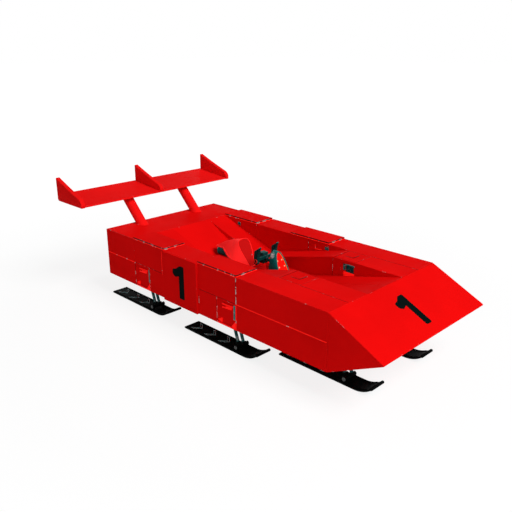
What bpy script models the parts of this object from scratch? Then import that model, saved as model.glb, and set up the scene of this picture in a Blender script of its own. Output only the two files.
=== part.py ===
"""Single-seat racing sled: a panelled wedge hull on six sprung skis, with a rear wing.

The sled's own frame has x = 0 on the rear face of the hull with +X to the nose, y = 0 on
the centreline with +Y to the driver's left, and z = 0 on the snow.
"""
import math

import bmesh
import bpy
from mathutils import Matrix, Vector

# Hull sections, from the tail to the nose
REAR_LENGTH = 0.50
POD_LENGTH = 1.50
FRONT_LENGTH = 1.00
NOSE_LENGTH = 0.50
NOSE_BLUNT = 0.010
BELLY = 0.25
LOWER_HEIGHT = 0.25
UPPER_HEIGHT = 0.25
TRAY_HALF = 0.25
VALLEY_WIDTH = 0.25
POD_WIDTH = 0.25
WALL = 0.020
GAP = 0.0003
EDGE = 0.004
CLEAR = 0.003

WAIST = BELLY + LOWER_HEIGHT
DECK = WAIST + UPPER_HEIGHT
POD_END = REAR_LENGTH + POD_LENGTH
BODY_END = POD_END + FRONT_LENGTH
NOSE_TIP = BODY_END + NOSE_LENGTH
POD_INNER = TRAY_HALF + VALLEY_WIDTH
HALF_BODY = POD_INNER + POD_WIDTH
PLATE_LENGTH = POD_LENGTH / 3

# Seams, bays and slots in the hull panels
SEAM_WIDTH = 0.004
SEAM_DEPTH = 0.003
BAY_LENGTH = 0.25
BAY_RIM = 0.008
BAY_SILL = 0.018
BAY_DEPTH = 0.008
SLIT_WIDTH = 0.018
SLIT_LOW = 0.093
SLIT_HEIGHT = 0.119
PLATE_THICK = 0.020
NUMBER_PANEL_THICK = 0.0225

# Ramps and the driver's well
TRAY_REAR_RAMP = 0.50
TRAY_SKIN = 0.018
VALLEY_REAR_RAMP = 0.75
VALLEY_SKIN = 0.016
VALLEY_SINK = 0.030
CORNER_SETBACK = 0.25
COAMING_WIDTH = 0.012
COAMING_HEIGHT = 0.014
WELL_LENGTH = 0.252
WELL_HALF = 0.170
SKIRT_DROP = 0.20

TRAY_FLOOR_START = REAR_LENGTH + TRAY_REAR_RAMP
VALLEY_LOW_X = REAR_LENGTH + VALLEY_REAR_RAMP
CORNER_START = POD_END + CORNER_SETBACK

# Hatches
HATCH_LENGTH = 0.240
HATCH_THICK = 0.012
HATCH_MARGIN = 0.010
HATCH_LEDGE = 0.014
HATCH_CLEAR = 0.002

# Engine fairing and exhaust
HOOD_FOOT = 1.45
HOOD_SKIN = 0.008
HOOD_MOUTH_BACK = 0.495
HOOD_MOUTH_HEIGHT = 0.150
HOOD_MOUTH_RUN = 0.235

# Each section is its distance back from the foot, its lean, its half-widths low and high, and its height.
HOOD_SECTIONS = (
    (0.500, 0.0, 0.080, 0.080, 0.138),
    (0.383, 0.0, 0.115, 0.110, 0.178),
    (0.245, 0.0, 0.140, 0.135, 0.239),
    (0.150, 0.020, 0.115, 0.130, 0.264),
    (0.075, 0.075, 0.035, 0.105, 0.267),
)
NOZZLE_RADIUS = 0.056
NOZZLE_BORE = 0.048
NOZZLE_LENGTH = 0.260
NOZZLE_HEIGHT = 0.0775
NOZZLE_START = 0.975

# Cowl, steering column and yoke
COWL_HALF = 0.075
COWL_HEIGHT = 0.25
COWL_SKIN = 0.008
COWL_LENGTH = 0.082
COWL_LEAN = 0.085
PANEL_THICK = 0.006
COLUMN_TILT = math.radians(20.0)
COLUMN_RADIUS = 0.0125
COLUMN_FIT = 0.0006
HUB_X = 1.60
HUB_HEIGHT = 0.155
GRIP_Y = 0.120
GRIP_THICK = 0.036

# Wing
WING_CHORD = 0.485
WING_HALF_SPAN = 1.015
WING_FRONT_HEIGHT = 0.285
WING_RISE = 0.050
WING_SAG = 0.004
WING_THICK = 0.0165
FIN_THICK = 0.046
FIN_DROP = 0.020
FIN_HEIGHT = 0.215
FIN_BROW = 0.043
FIN_BASE = 0.014
STRUT_RADIUS = 0.0463
STRUT_Y = 0.375
STRUT_FOOT_X = 0.12
STRUT_LEAN = math.radians(45.0)

# Skis
SKI_LENGTH = 0.98
SKI_HALF = 0.090
SKI_THICK = 0.016
SKI_BEHIND_PIN = 0.705
TIP_RADIUS = 0.26
TIP_TURN = math.radians(40.0)
RAIL_HEIGHT = 0.006
RAIL_WIDTH = 0.010
ARROW_HALF = 0.065
ARROW_LENGTH = 0.100
ARROW_STROKE = 0.030
ARROW_PLACES = (0.22, 0.415, 0.595)

# Legs, which lean back as they rise, and their pins
LEG_LEAN = math.radians(19.5)
PIN_HEIGHT = 0.042
PIN_RADIUS = 0.009
PIN_FIT = 0.0005
PIN_HEAD = 0.0175
EAR_THICK = 0.012
EAR_RADIUS = 0.017
FORK_HALF = 0.060
ROD_RADIUS = 0.015
ROD_SPREAD = 0.0354
ROD_FIT = 0.0005
LEG_DROOP = 0.030
SLEEVE_LENGTH = 0.200
SLEEVE_WALL = 0.005
SLEEVE_HALF = 0.024
CROWN_THICK = 0.016
OUTER_LINE = HALF_BODY - POD_WIDTH / 2
INNER_LINE = POD_INNER - VALLEY_WIDTH / 2

# Steering drums of the two front legs
DRUM_RADIUS = 0.070
DRUM_FIT = 0.0010
DRUM_FLANGE = 0.091
FLANGE_THICK = 0.014
BOSS_WALL = 0.030
BOSS_LENGTH = 0.130

SIDES = {"left": 1, "right": -1}
PIN_X = {"rear": REAR_LENGTH + 0.18, "middle": POD_END - 0.065, "front": BODY_END - 0.05}

# Each finish is a colour, a roughness and a metallic value.
FINISHES = {
    "red": ((0.72, 0.006, 0.006), 0.34, 0.0),
    "red_panel": ((0.66, 0.008, 0.008), 0.38, 0.0),
    "teal": ((0.006, 0.055, 0.052), 0.32, 0.8),
    "black": ((0.006, 0.006, 0.006), 0.46, 0.0),
    "steel": ((0.30, 0.31, 0.31), 0.35, 1.0),
    "grip": ((0.008, 0.020, 0.020), 0.65, 0.0),
}

for leftover in list(bpy.data.objects):
    bpy.data.objects.remove(leftover, do_unlink=True)
SLED = bpy.data.collections.new("racing_sled")
bpy.context.scene.collection.children.link(SLED)
CUTTERS = bpy.data.collections.new("cutters")
bpy.context.scene.collection.children.link(CUTTERS)

# The model is centred between the tail of the wing and the tip of the nose.
FRAME = bpy.data.objects.new("sled_frame", None)
FRAME.location = ((WING_CHORD - NOSE_TIP) / 2, 0, 0)
SLED.objects.link(FRAME)


def closed(bm, name):
    """Mesh of a closed solid, with doubled points merged and its faces turned outwards."""
    bmesh.ops.remove_doubles(bm, verts=bm.verts, dist=0.00001)
    bmesh.ops.recalc_face_normals(bm, faces=bm.faces)
    mesh = bpy.data.meshes.new(name)
    bm.to_mesh(mesh)
    bm.free()
    return mesh


def box(x, y, z):
    """Box between the two values given for each direction."""
    bm = bmesh.new()
    bmesh.ops.create_cube(bm, size=1)
    low = Vector((min(x), min(y), min(z)))
    high = Vector((max(x), max(y), max(z)))
    bmesh.ops.scale(bm, vec=high - low, verts=bm.verts)
    bmesh.ops.translate(bm, vec=(low + high) / 2, verts=bm.verts)
    return closed(bm, "box")


def sheet(outline, thickness):
    """Closed outline in the XY plane, with its thickness about z = 0."""
    curve = bpy.data.curves.new("outline", "CURVE")
    curve.dimensions = "2D"
    curve.fill_mode = "BOTH"
    curve.extrude = thickness / 2
    spline = curve.splines.new("POLY")
    spline.points.add(len(outline) - 1)
    for point, (across, along) in zip(spline.points, outline):
        point.co = (across, along, 0, 1)
    spline.use_cyclic_u = True
    guide = bpy.data.objects.new("outline", curve)
    mesh = bpy.data.meshes.new_from_object(guide)
    bpy.data.objects.remove(guide)
    bpy.data.curves.remove(curve)
    bm = bmesh.new()
    bm.from_mesh(mesh)
    bmesh.ops.remove_doubles(bm, verts=bm.verts, dist=0.00001)
    bmesh.ops.dissolve_limit(bm, angle_limit=0.0005, verts=bm.verts, edges=bm.edges)
    return closed(bm, "sheet")


def side_solid(outline, y):
    """Outline drawn in side view (x, z), running between two y values."""
    mesh = sheet(outline, abs(y[1] - y[0]))
    mesh.transform(Matrix.Translation((0, sum(y) / 2, 0)) @ Matrix.Rotation(math.pi / 2, 4, "X"))
    return mesh


def plan_solid(outline, z):
    """Outline drawn in plan (x, y), running between two heights."""
    mesh = sheet(outline, abs(z[1] - z[0]))
    mesh.transform(Matrix.Translation((0, 0, sum(z) / 2)))
    return mesh


def rod(start, end, radius, sides=12):
    """Round bar between two points."""
    start = Vector(start)
    end = Vector(end)
    bm = bmesh.new()
    bmesh.ops.create_cone(bm, cap_ends=True, segments=sides, radius1=radius, radius2=radius,
                          depth=(end - start).length)
    turn = Vector((0, 0, 1)).rotation_difference(end - start).to_matrix().to_4x4()
    bmesh.ops.transform(bm, matrix=Matrix.Translation((start + end) / 2) @ turn, verts=bm.verts)
    return closed(bm, "rod")


def turned(profile, steps):
    """Round solid about z, from (radius, height) points that start and end on the axis."""
    bm = bmesh.new()
    points = [bm.verts.new((radius, 0, height)) for radius, height in profile]
    lines = [bm.edges.new(pair) for pair in zip(points, points[1:])]
    bmesh.ops.spin(bm, geom=points + lines, cent=(0, 0, 0), axis=(0, 0, 1), angle=math.tau, steps=steps)
    return closed(bm, "turned")


def loft(rings):
    """Closed skin through rings that all have the same number of points."""
    bm = bmesh.new()
    rows = [[bm.verts.new(point) for point in ring] for ring in rings]
    for row, following in zip(rows, rows[1:]):
        for index, point in enumerate(row):
            other = (index + 1) % len(row)
            bm.faces.new((point, row[other], following[other], following[index]))
    bm.faces.new(rows[0])
    bm.faces.new(rows[-1])
    return closed(bm, "loft")


def trimmed(mesh, point, normal):
    """The part of a solid that lies on the side the normal points to."""
    bm = bmesh.new()
    bm.from_mesh(mesh)
    everything = list(bm.verts) + list(bm.edges) + list(bm.faces)
    found = bmesh.ops.bisect_plane(bm, geom=everything, plane_co=point, plane_no=normal, clear_inner=True)
    rim = [item for item in found["geom_cut"] if isinstance(item, bmesh.types.BMEdge)]
    bmesh.ops.edgeloop_fill(bm, edges=rim)
    return closed(bm, "trimmed")


def smooth(mesh, angle=35.0):
    mesh.shade_smooth()
    mesh.set_sharp_from_angle(angle=math.radians(angle))
    return mesh


def finish_of(name, kind):
    colour, roughness, metallic = FINISHES[kind]
    material = bpy.data.materials.new(name + "_finish")
    material.use_nodes = True
    shader = material.node_tree.nodes["Principled BSDF"]
    shader.inputs["Base Color"].default_value = (*colour, 1)
    shader.inputs["Roughness"].default_value = roughness
    shader.inputs["Metallic"].default_value = metallic
    return material


def piece(name, mesh, kind, at=(0, 0, 0)):
    """Named sub-part whose origin is the given point of the sled's frame."""
    item = bpy.data.objects.new(name, mesh)
    mesh.name = name
    mesh.materials.clear()
    mesh.materials.append(finish_of(name, kind))
    item.parent = FRAME
    item.location = at
    SLED.objects.link(item)
    return item


def combine(item, mesh, operation):
    guide = bpy.data.objects.new(f"{item.name}_guide_{len(item.modifiers)}", mesh)
    guide.parent = item
    guide.hide_render = True
    guide.display_type = "WIRE"
    CUTTERS.objects.link(guide)
    modifier = item.modifiers.new(operation.lower(), "BOOLEAN")
    modifier.operation = operation
    modifier.solver = "EXACT"
    modifier.object = guide


def cut(item, mesh):
    """Takes a solid, given in the piece's own frame, out of the piece."""
    combine(item, mesh, "DIFFERENCE")


def add(item, mesh):
    """Joins a solid, given in the piece's own frame, to the piece."""
    combine(item, mesh, "UNION")


def break_edges(item, width=EDGE, segments=2):
    modifier = item.modifiers.new("edges", "BEVEL")
    modifier.width = width
    modifier.segments = segments
    modifier.limit_method = "ANGLE"
    modifier.angle_limit = math.radians(30)


def about(middle, half):
    return (middle - half, middle + half)


def circle(centre, radius, steps, start=0.0, turn=math.tau):
    """Points of a whole circle, or of an arc with both its ends."""
    count = steps if math.isclose(turn, math.tau) else steps + 1
    angles = [start + turn * step / steps for step in range(count)]
    return [(centre[0] + radius * math.cos(angle), centre[1] + radius * math.sin(angle)) for angle in angles]


# A leg is measured from its pin, up along the lean.
UP = Vector((-math.sin(LEG_LEAN), 0, math.cos(LEG_LEAN)))
FORWARD = Vector((math.cos(LEG_LEAN), 0, math.sin(LEG_LEAN)))
BLOCK_HALF = ROD_SPREAD + ROD_RADIUS + SLEEVE_WALL


def leg_length_to(height):
    return (height - PIN_HEIGHT) / math.cos(LEG_LEAN)


SLEEVE_LOW = leg_length_to(BELLY)
SLEEVE_TOP = SLEEVE_LOW + SLEEVE_LENGTH
CROWN_LOW = SLEEVE_TOP + LEG_DROOP + CLEAR
FLANGE_LOW = SLEEVE_LOW + BOSS_LENGTH


def pin_point(row, side):
    line = INNER_LINE if row == "front" else OUTER_LINE
    return Vector((PIN_X[row], SIDES[side] * line, PIN_HEIGHT))


def leg_line(pin, low, high, radius, forward=0.0, sides=12):
    """Round bar along the leg between two distances above the pin."""
    foot = pin + FORWARD * forward
    return rod(foot + UP * low, foot + UP * high, radius, sides)


def leg_block(pin, low, high, half_length, half_width):
    """Square block along the leg between two distances above the pin."""
    mesh = box((-half_length, half_length), (-half_width, half_width), (low, high))
    mesh.transform(Matrix.Translation(pin) @ Matrix.Rotation(-LEG_LEAN, 4, "Y"))
    return mesh


# Lower hull: the tray that carries everything, wide at both ends and narrow between the pods.
def build_lower_hull():
    outline = [
        (0, -HALF_BODY), (REAR_LENGTH, -HALF_BODY), (REAR_LENGTH, -POD_INNER), (POD_END, -POD_INNER),
        (POD_END, -HALF_BODY), (BODY_END, -HALF_BODY), (BODY_END, HALF_BODY), (POD_END, HALF_BODY),
        (POD_END, POD_INNER), (REAR_LENGTH, POD_INNER), (REAR_LENGTH, HALF_BODY), (0, HALF_BODY),
    ]
    hull = piece("lower_hull", plan_solid(outline, (BELLY, WAIST - GAP)), "red")
    break_edges(hull)
    side = HALF_BODY - WALL
    middle = POD_INNER - WALL
    above_floor = (BELLY + WALL, DECK)
    cut(hull, box((WALL, REAR_LENGTH - WALL), (-side, side), above_floor))
    cut(hull, box((POD_END + WALL, BODY_END - WALL), (-side, side), above_floor))
    cut(hull, box((REAR_LENGTH - 2 * WALL, POD_END + 2 * WALL), (-middle, middle), above_floor))
    seat = (WAIST - VALLEY_SINK - GAP, DECK)
    cut(hull, box((REAR_LENGTH + GAP, POD_END + 2 * WALL), about(0, POD_INNER + EDGE), seat))
    for way in SIDES.values():
        passage = (way * (POD_INNER + EDGE), way * side)
        cut(hull, box((REAR_LENGTH - 2 * WALL, REAR_LENGTH + WALL), passage, above_floor))
        cut(hull, box((POD_END - WALL, POD_END + 2 * WALL), passage, above_floor))
    for name in SIDES:
        pin = pin_point("front", name)
        boss = leg_line(pin, SLEEVE_LOW - WALL, FLANGE_LOW - GAP, DRUM_RADIUS + BOSS_WALL, sides=24)
        add(hull, trimmed(boss, (0, 0, BELLY + WALL / 3), (0, 0, 1)))
        cut(hull, leg_line(pin, SLEEVE_LOW / 2, SLEEVE_TOP, DRUM_RADIUS + DRUM_FIT, sides=24))


# Rear deck: the cap over the tail of the hull, which carries the wing.
def build_rear_deck():
    deck = piece("rear_deck", box((0, REAR_LENGTH - GAP), about(0, HALF_BODY), (WAIST, DECK)), "red")
    break_edges(deck)
    inside = (WAIST - WALL, DECK - WALL)
    side = HALF_BODY - WALL
    cut(deck, box((WALL, REAR_LENGTH - WALL), (-side, side), inside))
    for way in SIDES.values():
        passage = (way * (POD_INNER + WALL), way * side)
        cut(deck, box((REAR_LENGTH - 2 * WALL, REAR_LENGTH + WALL), passage, inside))


# Side pods: long boxes open at both ends, with a suspension bay at each end.
def build_side_pod(side):
    way = SIDES[side]
    face = way * HALF_BODY
    back = way * (POD_INNER + GAP)
    pod = piece("side_pod_" + side, box((REAR_LENGTH + GAP, POD_END - GAP), (back, face), (BELLY, DECK)), "red")
    break_edges(pod)
    hollow = (back + way * WALL, face - way * WALL)
    cut(pod, box((REAR_LENGTH - WALL, POD_END + WALL), hollow, (BELLY + WALL, DECK - WALL)))
    for row, start in (("rear", REAR_LENGTH), ("middle", POD_END - BAY_LENGTH)):
        pin = pin_point(row, side)
        opening = leg_block(pin, SLEEVE_LOW / 2, SLEEVE_LOW + 3 * WALL, BLOCK_HALF + CLEAR, SLEEVE_HALF + CLEAR)
        cut(pod, opening)
        build_bay(pod, face, way, start)
        window = about(start + BAY_LENGTH - 0.018, SLIT_WIDTH / 2 + 0.004)
        cut(pod, box(window, (back - way * WALL, back + way * 2 * WALL), about(DECK - 0.055, 0.022)))
    shallow = (face - way * SEAM_DEPTH, face + way * WALL)
    cut(pod, box(about(REAR_LENGTH + PLATE_LENGTH - 0.015, SEAM_WIDTH / 2), shallow, (WAIST, DECK + WALL)))
    inside = (back - way * WALL, back + way * SEAM_DEPTH)
    for x in (REAR_LENGTH + PLATE_LENGTH, POD_END - BAY_LENGTH):
        cut(pod, box(about(x, SEAM_WIDTH / 2), inside, (WAIST, DECK + WALL)))


def build_bay(pod, face, way, start):
    """Shallow recess in the outer wall, with a bracket, two gussets and a narrow slit."""
    low = BELLY + BAY_SILL
    rear = start + BAY_RIM
    front = start + BAY_LENGTH - BAY_RIM
    cut(pod, box((rear, front), (face - way * BAY_DEPTH, face + way * WALL), (low, WAIST - BAY_RIM)))
    raised = (face - way * (BAY_DEPTH + EDGE), face - way * EDGE / 2)
    gusset = 0.034
    for corner, along in ((rear - CLEAR, 1), (front + CLEAR, -1)):
        triangle = [(corner, low - CLEAR), (corner + along * gusset, low - CLEAR), (corner, low - CLEAR + gusset)]
        add(pod, side_solid(triangle, raised))
    add(pod, box((start + 0.070, front + CLEAR), raised, (WAIST - 0.080, WAIST - 0.032)))
    slit_x = about(front - SLIT_WIDTH / 2 - EDGE, SLIT_WIDTH / 2)
    slit_z = (BELLY + SLIT_LOW, BELLY + SLIT_LOW + SLIT_HEIGHT)
    cut(pod, box(slit_x, (face - way * 2 * WALL, face + way * WALL), slit_z))


# Number panels and deck plates: flat panels screwed over the pods.
def build_pod_panels(side):
    way = SIDES[side]
    length = (REAR_LENGTH + PLATE_LENGTH, POD_END - PLATE_LENGTH)
    thickness = (way * (HALF_BODY + GAP), way * (HALF_BODY + NUMBER_PANEL_THICK))
    panel = piece("number_panel_" + side, box(length, thickness, (BELLY, DECK)), "red_panel")
    break_edges(panel, EDGE / 2)
    width = (way * (POD_INNER + GAP), way * HALF_BODY)
    for name, start in (("rear", REAR_LENGTH + GAP), ("front", POD_END - PLATE_LENGTH)):
        plate = box((start, start + PLATE_LENGTH - GAP), width, (DECK + GAP, DECK + PLATE_THICK))
        break_edges(piece(f"deck_plate_{name}_{side}", plate, "red_panel"), EDGE / 2)


# Front deck: an L-shaped cap beside the front ramp, with a square hatch at its corner.
def build_front_deck(side):
    way = SIDES[side]
    rear = CORNER_START + GAP
    outline = [
        (POD_END, way * (POD_INNER + GAP)), (POD_END, way * HALF_BODY), (BODY_END, way * HALF_BODY),
        (BODY_END, way * TRAY_HALF), (rear, way * TRAY_HALF), (rear, way * (POD_INNER + GAP)),
    ]
    deck = piece("front_deck_" + side, plan_solid(outline, (WAIST, DECK)), "red")
    break_edges(deck)
    under = (WAIST - WALL, DECK - WALL)
    outer = way * (HALF_BODY - WALL)
    cut(deck, box((POD_END - WALL, CORNER_START + 2 * WALL), (way * (POD_INNER + WALL), outer), under))
    cut(deck, box((CORNER_START + WALL, BODY_END - WALL), (way * (TRAY_HALF + WALL), outer), under))
    x, y = hatch_pocket(way)
    cut(deck, box(x, y, (DECK - HATCH_THICK - GAP, DECK + WALL)))
    hole_x = (x[0] + HATCH_LEDGE, x[1] - HATCH_LEDGE)
    hole_y = (y[0] + way * HATCH_LEDGE, y[1] - way * HATCH_LEDGE)
    cut(deck, box(hole_x, hole_y, (DECK - 2 * WALL, DECK + WALL)))
    through = (way * (TRAY_HALF - WALL), way * (TRAY_HALF + 2 * WALL))
    cut(deck, box(about(gear_window_x(), 0.050), through, about(DECK - 0.095, 0.062)))


def gear_window_x():
    return CORNER_START + 0.192


def hatch_pocket(way):
    """Plan limits of the recess that a hatch lies in."""
    x = (CORNER_START + HATCH_MARGIN, CORNER_START + HATCH_MARGIN + HATCH_LENGTH)
    y = (way * (TRAY_HALF + HATCH_MARGIN), way * (POD_INNER - HATCH_MARGIN))
    return x, y


# Hatches: flat lids hinged along a rounded rear edge, with an angle-shaped pull in the top.
def build_hatch(side):
    way = SIDES[side]
    radius = HATCH_THICK / 2
    x, y = hatch_pocket(way)
    hinge_x = x[0] + HATCH_CLEAR + radius
    length = x[1] - HATCH_CLEAR - hinge_x
    half = abs(y[1] - y[0]) / 2 - HATCH_CLEAR
    profile = circle((0, 0), radius, 6, math.pi / 2, math.pi) + [(length, -radius), (length, radius)]
    lid = piece("hatch_" + side, side_solid(profile, (-half, half)), "red_panel",
                (hinge_x, sum(y) / 2, DECK - radius))
    corner = (0.148, -0.021)
    reach = 0.090
    stroke = 0.012
    pull = [
        corner, (corner[0], corner[1] + reach), (corner[0] - stroke, corner[1] + reach),
        (corner[0] - stroke, corner[1] + stroke), (corner[0] - reach, corner[1] + stroke),
        (corner[0] - reach, corner[1]),
    ]
    cut(lid, plan_solid(pull, (radius - HATCH_THICK / 3, radius + WALL)))


# Nose: a hollow wedge bolted to the front of the hull.
def build_nose():
    start = BODY_END + GAP
    blunt = about(WAIST, NOSE_BLUNT / 2)
    outline = [(start, BELLY), (NOSE_TIP, blunt[0]), (NOSE_TIP, blunt[1]), (start, DECK)]
    nose = piece("nose_cone", side_solid(outline, about(0, HALF_BODY)), "red")
    break_edges(nose)
    slopes = ((blunt[0] - BELLY) / NOSE_LENGTH, (DECK - blunt[1]) / NOSE_LENGTH)
    low, high = [WALL * math.sqrt(1 + slope * slope) for slope in slopes]
    back = BODY_END - WALL
    tip = NOSE_TIP - (low + high - NOSE_BLUNT) / sum(slopes) - EDGE
    inside = [
        (back, BELLY + low - WALL * slopes[0]), (tip, BELLY + low + slopes[0] * (tip - BODY_END)),
        (tip, DECK - high - slopes[1] * (tip - BODY_END)), (back, DECK - high + WALL * slopes[1]),
    ]
    cut(nose, side_solid(inside, about(0, HALF_BODY - WALL)))


# Valley panels: shallow V-shaped shells between the pods and the cockpit tray.
def build_valley_panel(side):
    way = SIDES[side]
    rear = REAR_LENGTH + GAP
    low = WAIST - VALLEY_SINK
    outline = [(rear, low), (CORNER_START, low), (CORNER_START, DECK), (VALLEY_LOW_X, WAIST), (rear, DECK)]
    across = (way * TRAY_HALF, way * POD_INNER)
    panel = piece("valley_panel_" + side, side_solid(outline, across), "red")
    break_edges(panel)
    slopes = (UPPER_HEIGHT / (VALLEY_LOW_X - rear), UPPER_HEIGHT / (CORNER_START - VALLEY_LOW_X))
    hollow = [
        (rear + VALLEY_SKIN, low - WALL), (CORNER_START - VALLEY_SKIN, low - WALL),
        (CORNER_START - VALLEY_SKIN, DECK - VALLEY_SKIN * (1 + slopes[1])),
        (VALLEY_LOW_X, WAIST - VALLEY_SKIN),
        (rear + VALLEY_SKIN, DECK - VALLEY_SKIN * (1 + slopes[0])),
    ]
    cut(panel, side_solid(hollow, (across[0] + way * VALLEY_SKIN, across[1] - way * VALLEY_SKIN)))


def well_x():
    """Rear and front of the driver's well, which starts just ahead of the fairing."""
    rear = HOOD_FOOT + CLEAR + COAMING_WIDTH
    return (rear, rear + WELL_LENGTH)


# Cockpit tray: rear ramp, flat floor and front ramp in one skin, with the driver's well in the floor.
def build_tray():
    slope = UPPER_HEIGHT / FRONT_LENGTH
    top = [(REAR_LENGTH + GAP, DECK), (TRAY_FLOOR_START, WAIST), (POD_END, WAIST), (BODY_END, DECK)]
    under = [(x, z - TRAY_SKIN) for x, z in reversed(top)]
    tray = piece("cockpit_tray", side_solid(top + under, about(0, TRAY_HALF - GAP)), "red")
    rear, front = well_x()
    rim = (rear - COAMING_WIDTH, front + COAMING_WIDTH)
    add(tray, box(rim, about(0, WELL_HALF + COAMING_WIDTH), (WAIST - SKIRT_DROP, WAIST + COAMING_HEIGHT)))
    cut(tray, box((rear, front), about(0, WELL_HALF), (BELLY, DECK)))
    legroom = (WAIST - SKIRT_DROP + WALL, WAIST - 2 * TRAY_SKIN)
    cut(tray, box((front - WALL, front + 2 * WALL), about(0, WELL_HALF - 2 * WALL), legroom))
    joint = (CORNER_START + 0.175, BODY_END - 0.05)
    line = [(x, WAIST + slope * (x - POD_END)) for x in joint]
    groove = [(x, z - SEAM_DEPTH) for x, z in line] + [(x, z + WALL) for x, z in reversed(line)]
    cut(tray, side_solid(groove, about(0, SEAM_WIDTH / 2)))


# Seat: a moulded bucket standing on the hull's floor inside the well, open towards the legs.
def build_seat():
    rear, front = well_x()
    x = (rear + CLEAR, front - CLEAR)
    half = WELL_HALF - CLEAR
    foot = BELLY + WALL + GAP
    seat = piece("seat_shell", box(x, about(0, half), (foot, WAIST)), "red")
    break_edges(seat, 3 * EDGE)
    skin = 0.022
    hollow = [
        (x[0] + skin, DECK), (x[0] + skin, WAIST), (x[0] + 0.060, foot + 0.075), (x[1] - 0.050, foot + 0.060),
        (x[1] + WALL, foot + 0.070), (x[1] + WALL, DECK),
    ]
    cut(seat, side_solid(hollow, about(0, half - skin)))


def arch(x_top, lean, low, shoulder, height, base):
    """Arched section across the sled; its foot stands further forward than its top by the lean."""
    ring = []
    for step in range(13):
        turn = math.pi * step / 12
        rise = math.sin(turn) ** 0.8
        side = math.copysign(abs(math.cos(turn)) ** 0.6, math.cos(turn))
        width = low + (shoulder - low) * math.sin(turn)
        ring.append((x_top + lean * (1 - rise), width * side, base + height * rise))
    return ring


def hood_sections(skin=0.0, depth=0.0):
    """Sections of the engine fairing from its tail to its raked front face."""
    base = WAIST + GAP - depth
    rings = []
    for back, lean, low, shoulder, height in HOOD_SECTIONS:
        inset = 1.3 * skin if back == HOOD_SECTIONS[-1][0] else 0
        rings.append(arch(HOOD_FOOT - back - inset, lean, low - skin, shoulder - skin, height - skin + depth, base))
    return rings


# Engine fairing: a hollow spine behind the driver, cut off at a slant around the exhaust.
def build_fairing():
    slant_top = (HOOD_FOOT - HOOD_MOUTH_BACK, 0, WAIST + HOOD_MOUTH_HEIGHT)
    slant = Vector((HOOD_MOUTH_HEIGHT, 0, HOOD_MOUTH_RUN))
    fairing = piece("engine_fairing", smooth(trimmed(loft(hood_sections()), slant_top, slant)), "red")
    hollow = hood_sections(HOOD_SKIN, 2 * TRAY_SKIN)
    hollow.insert(0, [(x - 2 * WALL, y, z) for x, y, z in hollow[0]])
    cut(fairing, loft(hollow))


# Exhaust nozzle: a short open pipe under the tail of the fairing, on a saddle block.
def build_nozzle():
    floor = 0.030
    profile = [
        (0, 0), (NOZZLE_RADIUS - CLEAR, 0), (NOZZLE_RADIUS, 0.010), (NOZZLE_RADIUS, NOZZLE_LENGTH),
        (NOZZLE_BORE, NOZZLE_LENGTH), (NOZZLE_BORE, floor), (0, floor),
    ]
    mesh = smooth(turned(profile, 24))
    mesh.transform(Matrix.Rotation(-math.pi / 2, 4, "Y"))
    end = NOZZLE_START + NOZZLE_LENGTH
    nozzle = piece("exhaust_nozzle", mesh, "teal", (end, 0, WAIST + NOZZLE_HEIGHT))
    saddle_top = -(NOZZLE_BORE + NOZZLE_RADIUS) / 2
    add(nozzle, box((-0.130, -0.050), about(0, NOZZLE_RADIUS / 2), (GAP - NOZZLE_HEIGHT, saddle_top)))


def cowl_x():
    return well_x()[1] + COAMING_WIDTH + CLEAR


def cowl_ring(x, lean, inset=0.0, drop=0.0):
    """Arched section of the cowl, moved in by a distance and with straight legs below its foot."""
    ring = []
    base = WAIST + GAP
    for step in range(15):
        turn = math.pi * step / 14
        rise = math.sin(turn)
        ring.append((x + lean * (1 - rise), (COWL_HALF - inset) * math.cos(turn), base + (COWL_HEIGHT - inset) * rise))
    if drop:
        first, last = ring[0], ring[-1]
        ring = [(first[0], first[1], base - drop)] + ring + [(last[0], last[1], base - drop)]
    return ring


def column_point(x):
    """Point of the steering column at a distance forward along the sled."""
    return Vector((x, 0, WAIST + HUB_HEIGHT - (x - HUB_X) * math.tan(COLUMN_TILT)))


# Screen hoop: an arched cowl ahead of the driver that carries the steering column in its rear wall.
def build_cowl():
    rear = cowl_x()
    front = rear + COWL_LENGTH
    hoop = piece("screen_hoop", smooth(loft([cowl_ring(rear, 0), cowl_ring(front, COWL_LEAN)])), "teal")
    start = rear + 1.5 * COWL_SKIN
    drop = 2 * TRAY_SKIN
    hollow = [cowl_ring(start, 0, COWL_SKIN, drop), cowl_ring(front, COWL_LEAN, COWL_SKIN, drop),
              cowl_ring(front + WALL, COWL_LEAN, COWL_SKIN, drop)]
    cut(hoop, loft(hollow))
    cut(hoop, rod(column_point(rear - WALL), column_point(start + WALL), COLUMN_RADIUS + COLUMN_FIT))
    inset = COWL_SKIN + 2 * GAP
    rings = [cowl_ring(front - 2 * PANEL_THICK, COWL_LEAN, inset), cowl_ring(front - PANEL_THICK, COWL_LEAN, inset)]
    piece("screen_panel", loft(rings), "red_panel")


# Yoke: a boxed hub on the column with a cross bar and two upright horn grips.
def build_yoke():
    centre = column_point(HUB_X)
    reach = GRIP_Y - GRIP_THICK / 2 - GAP
    hub = piece("yoke_hub", box((-0.036, 0.044), about(0, 0.034), (-0.066, 0.074)), "teal", centre)
    break_edges(hub, 2 * EDGE)
    add(hub, box((0.012, 0.040), about(0, reach), (-0.018, 0.014)))
    add(hub, rod((0, 0, 0), column_point(cowl_x() + WALL + COWL_SKIN) - centre, COLUMN_RADIUS))
    profile = [
        (0.003, 0.082), (-0.004, 0.012), (-0.004, -0.036), (0.006, -0.052), (0.036, -0.052),
        (0.052, -0.036), (0.056, 0.012), (0.078, 0.088), (0.085, 0.132),
    ]
    for side, way in SIDES.items():
        inner = way * (GRIP_Y - GRIP_THICK / 2)
        grip = piece("yoke_grip_" + side, side_solid(profile, (inner, inner + way * GRIP_THICK)), "grip", centre)
        break_edges(grip, 2 * EDGE)


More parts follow.
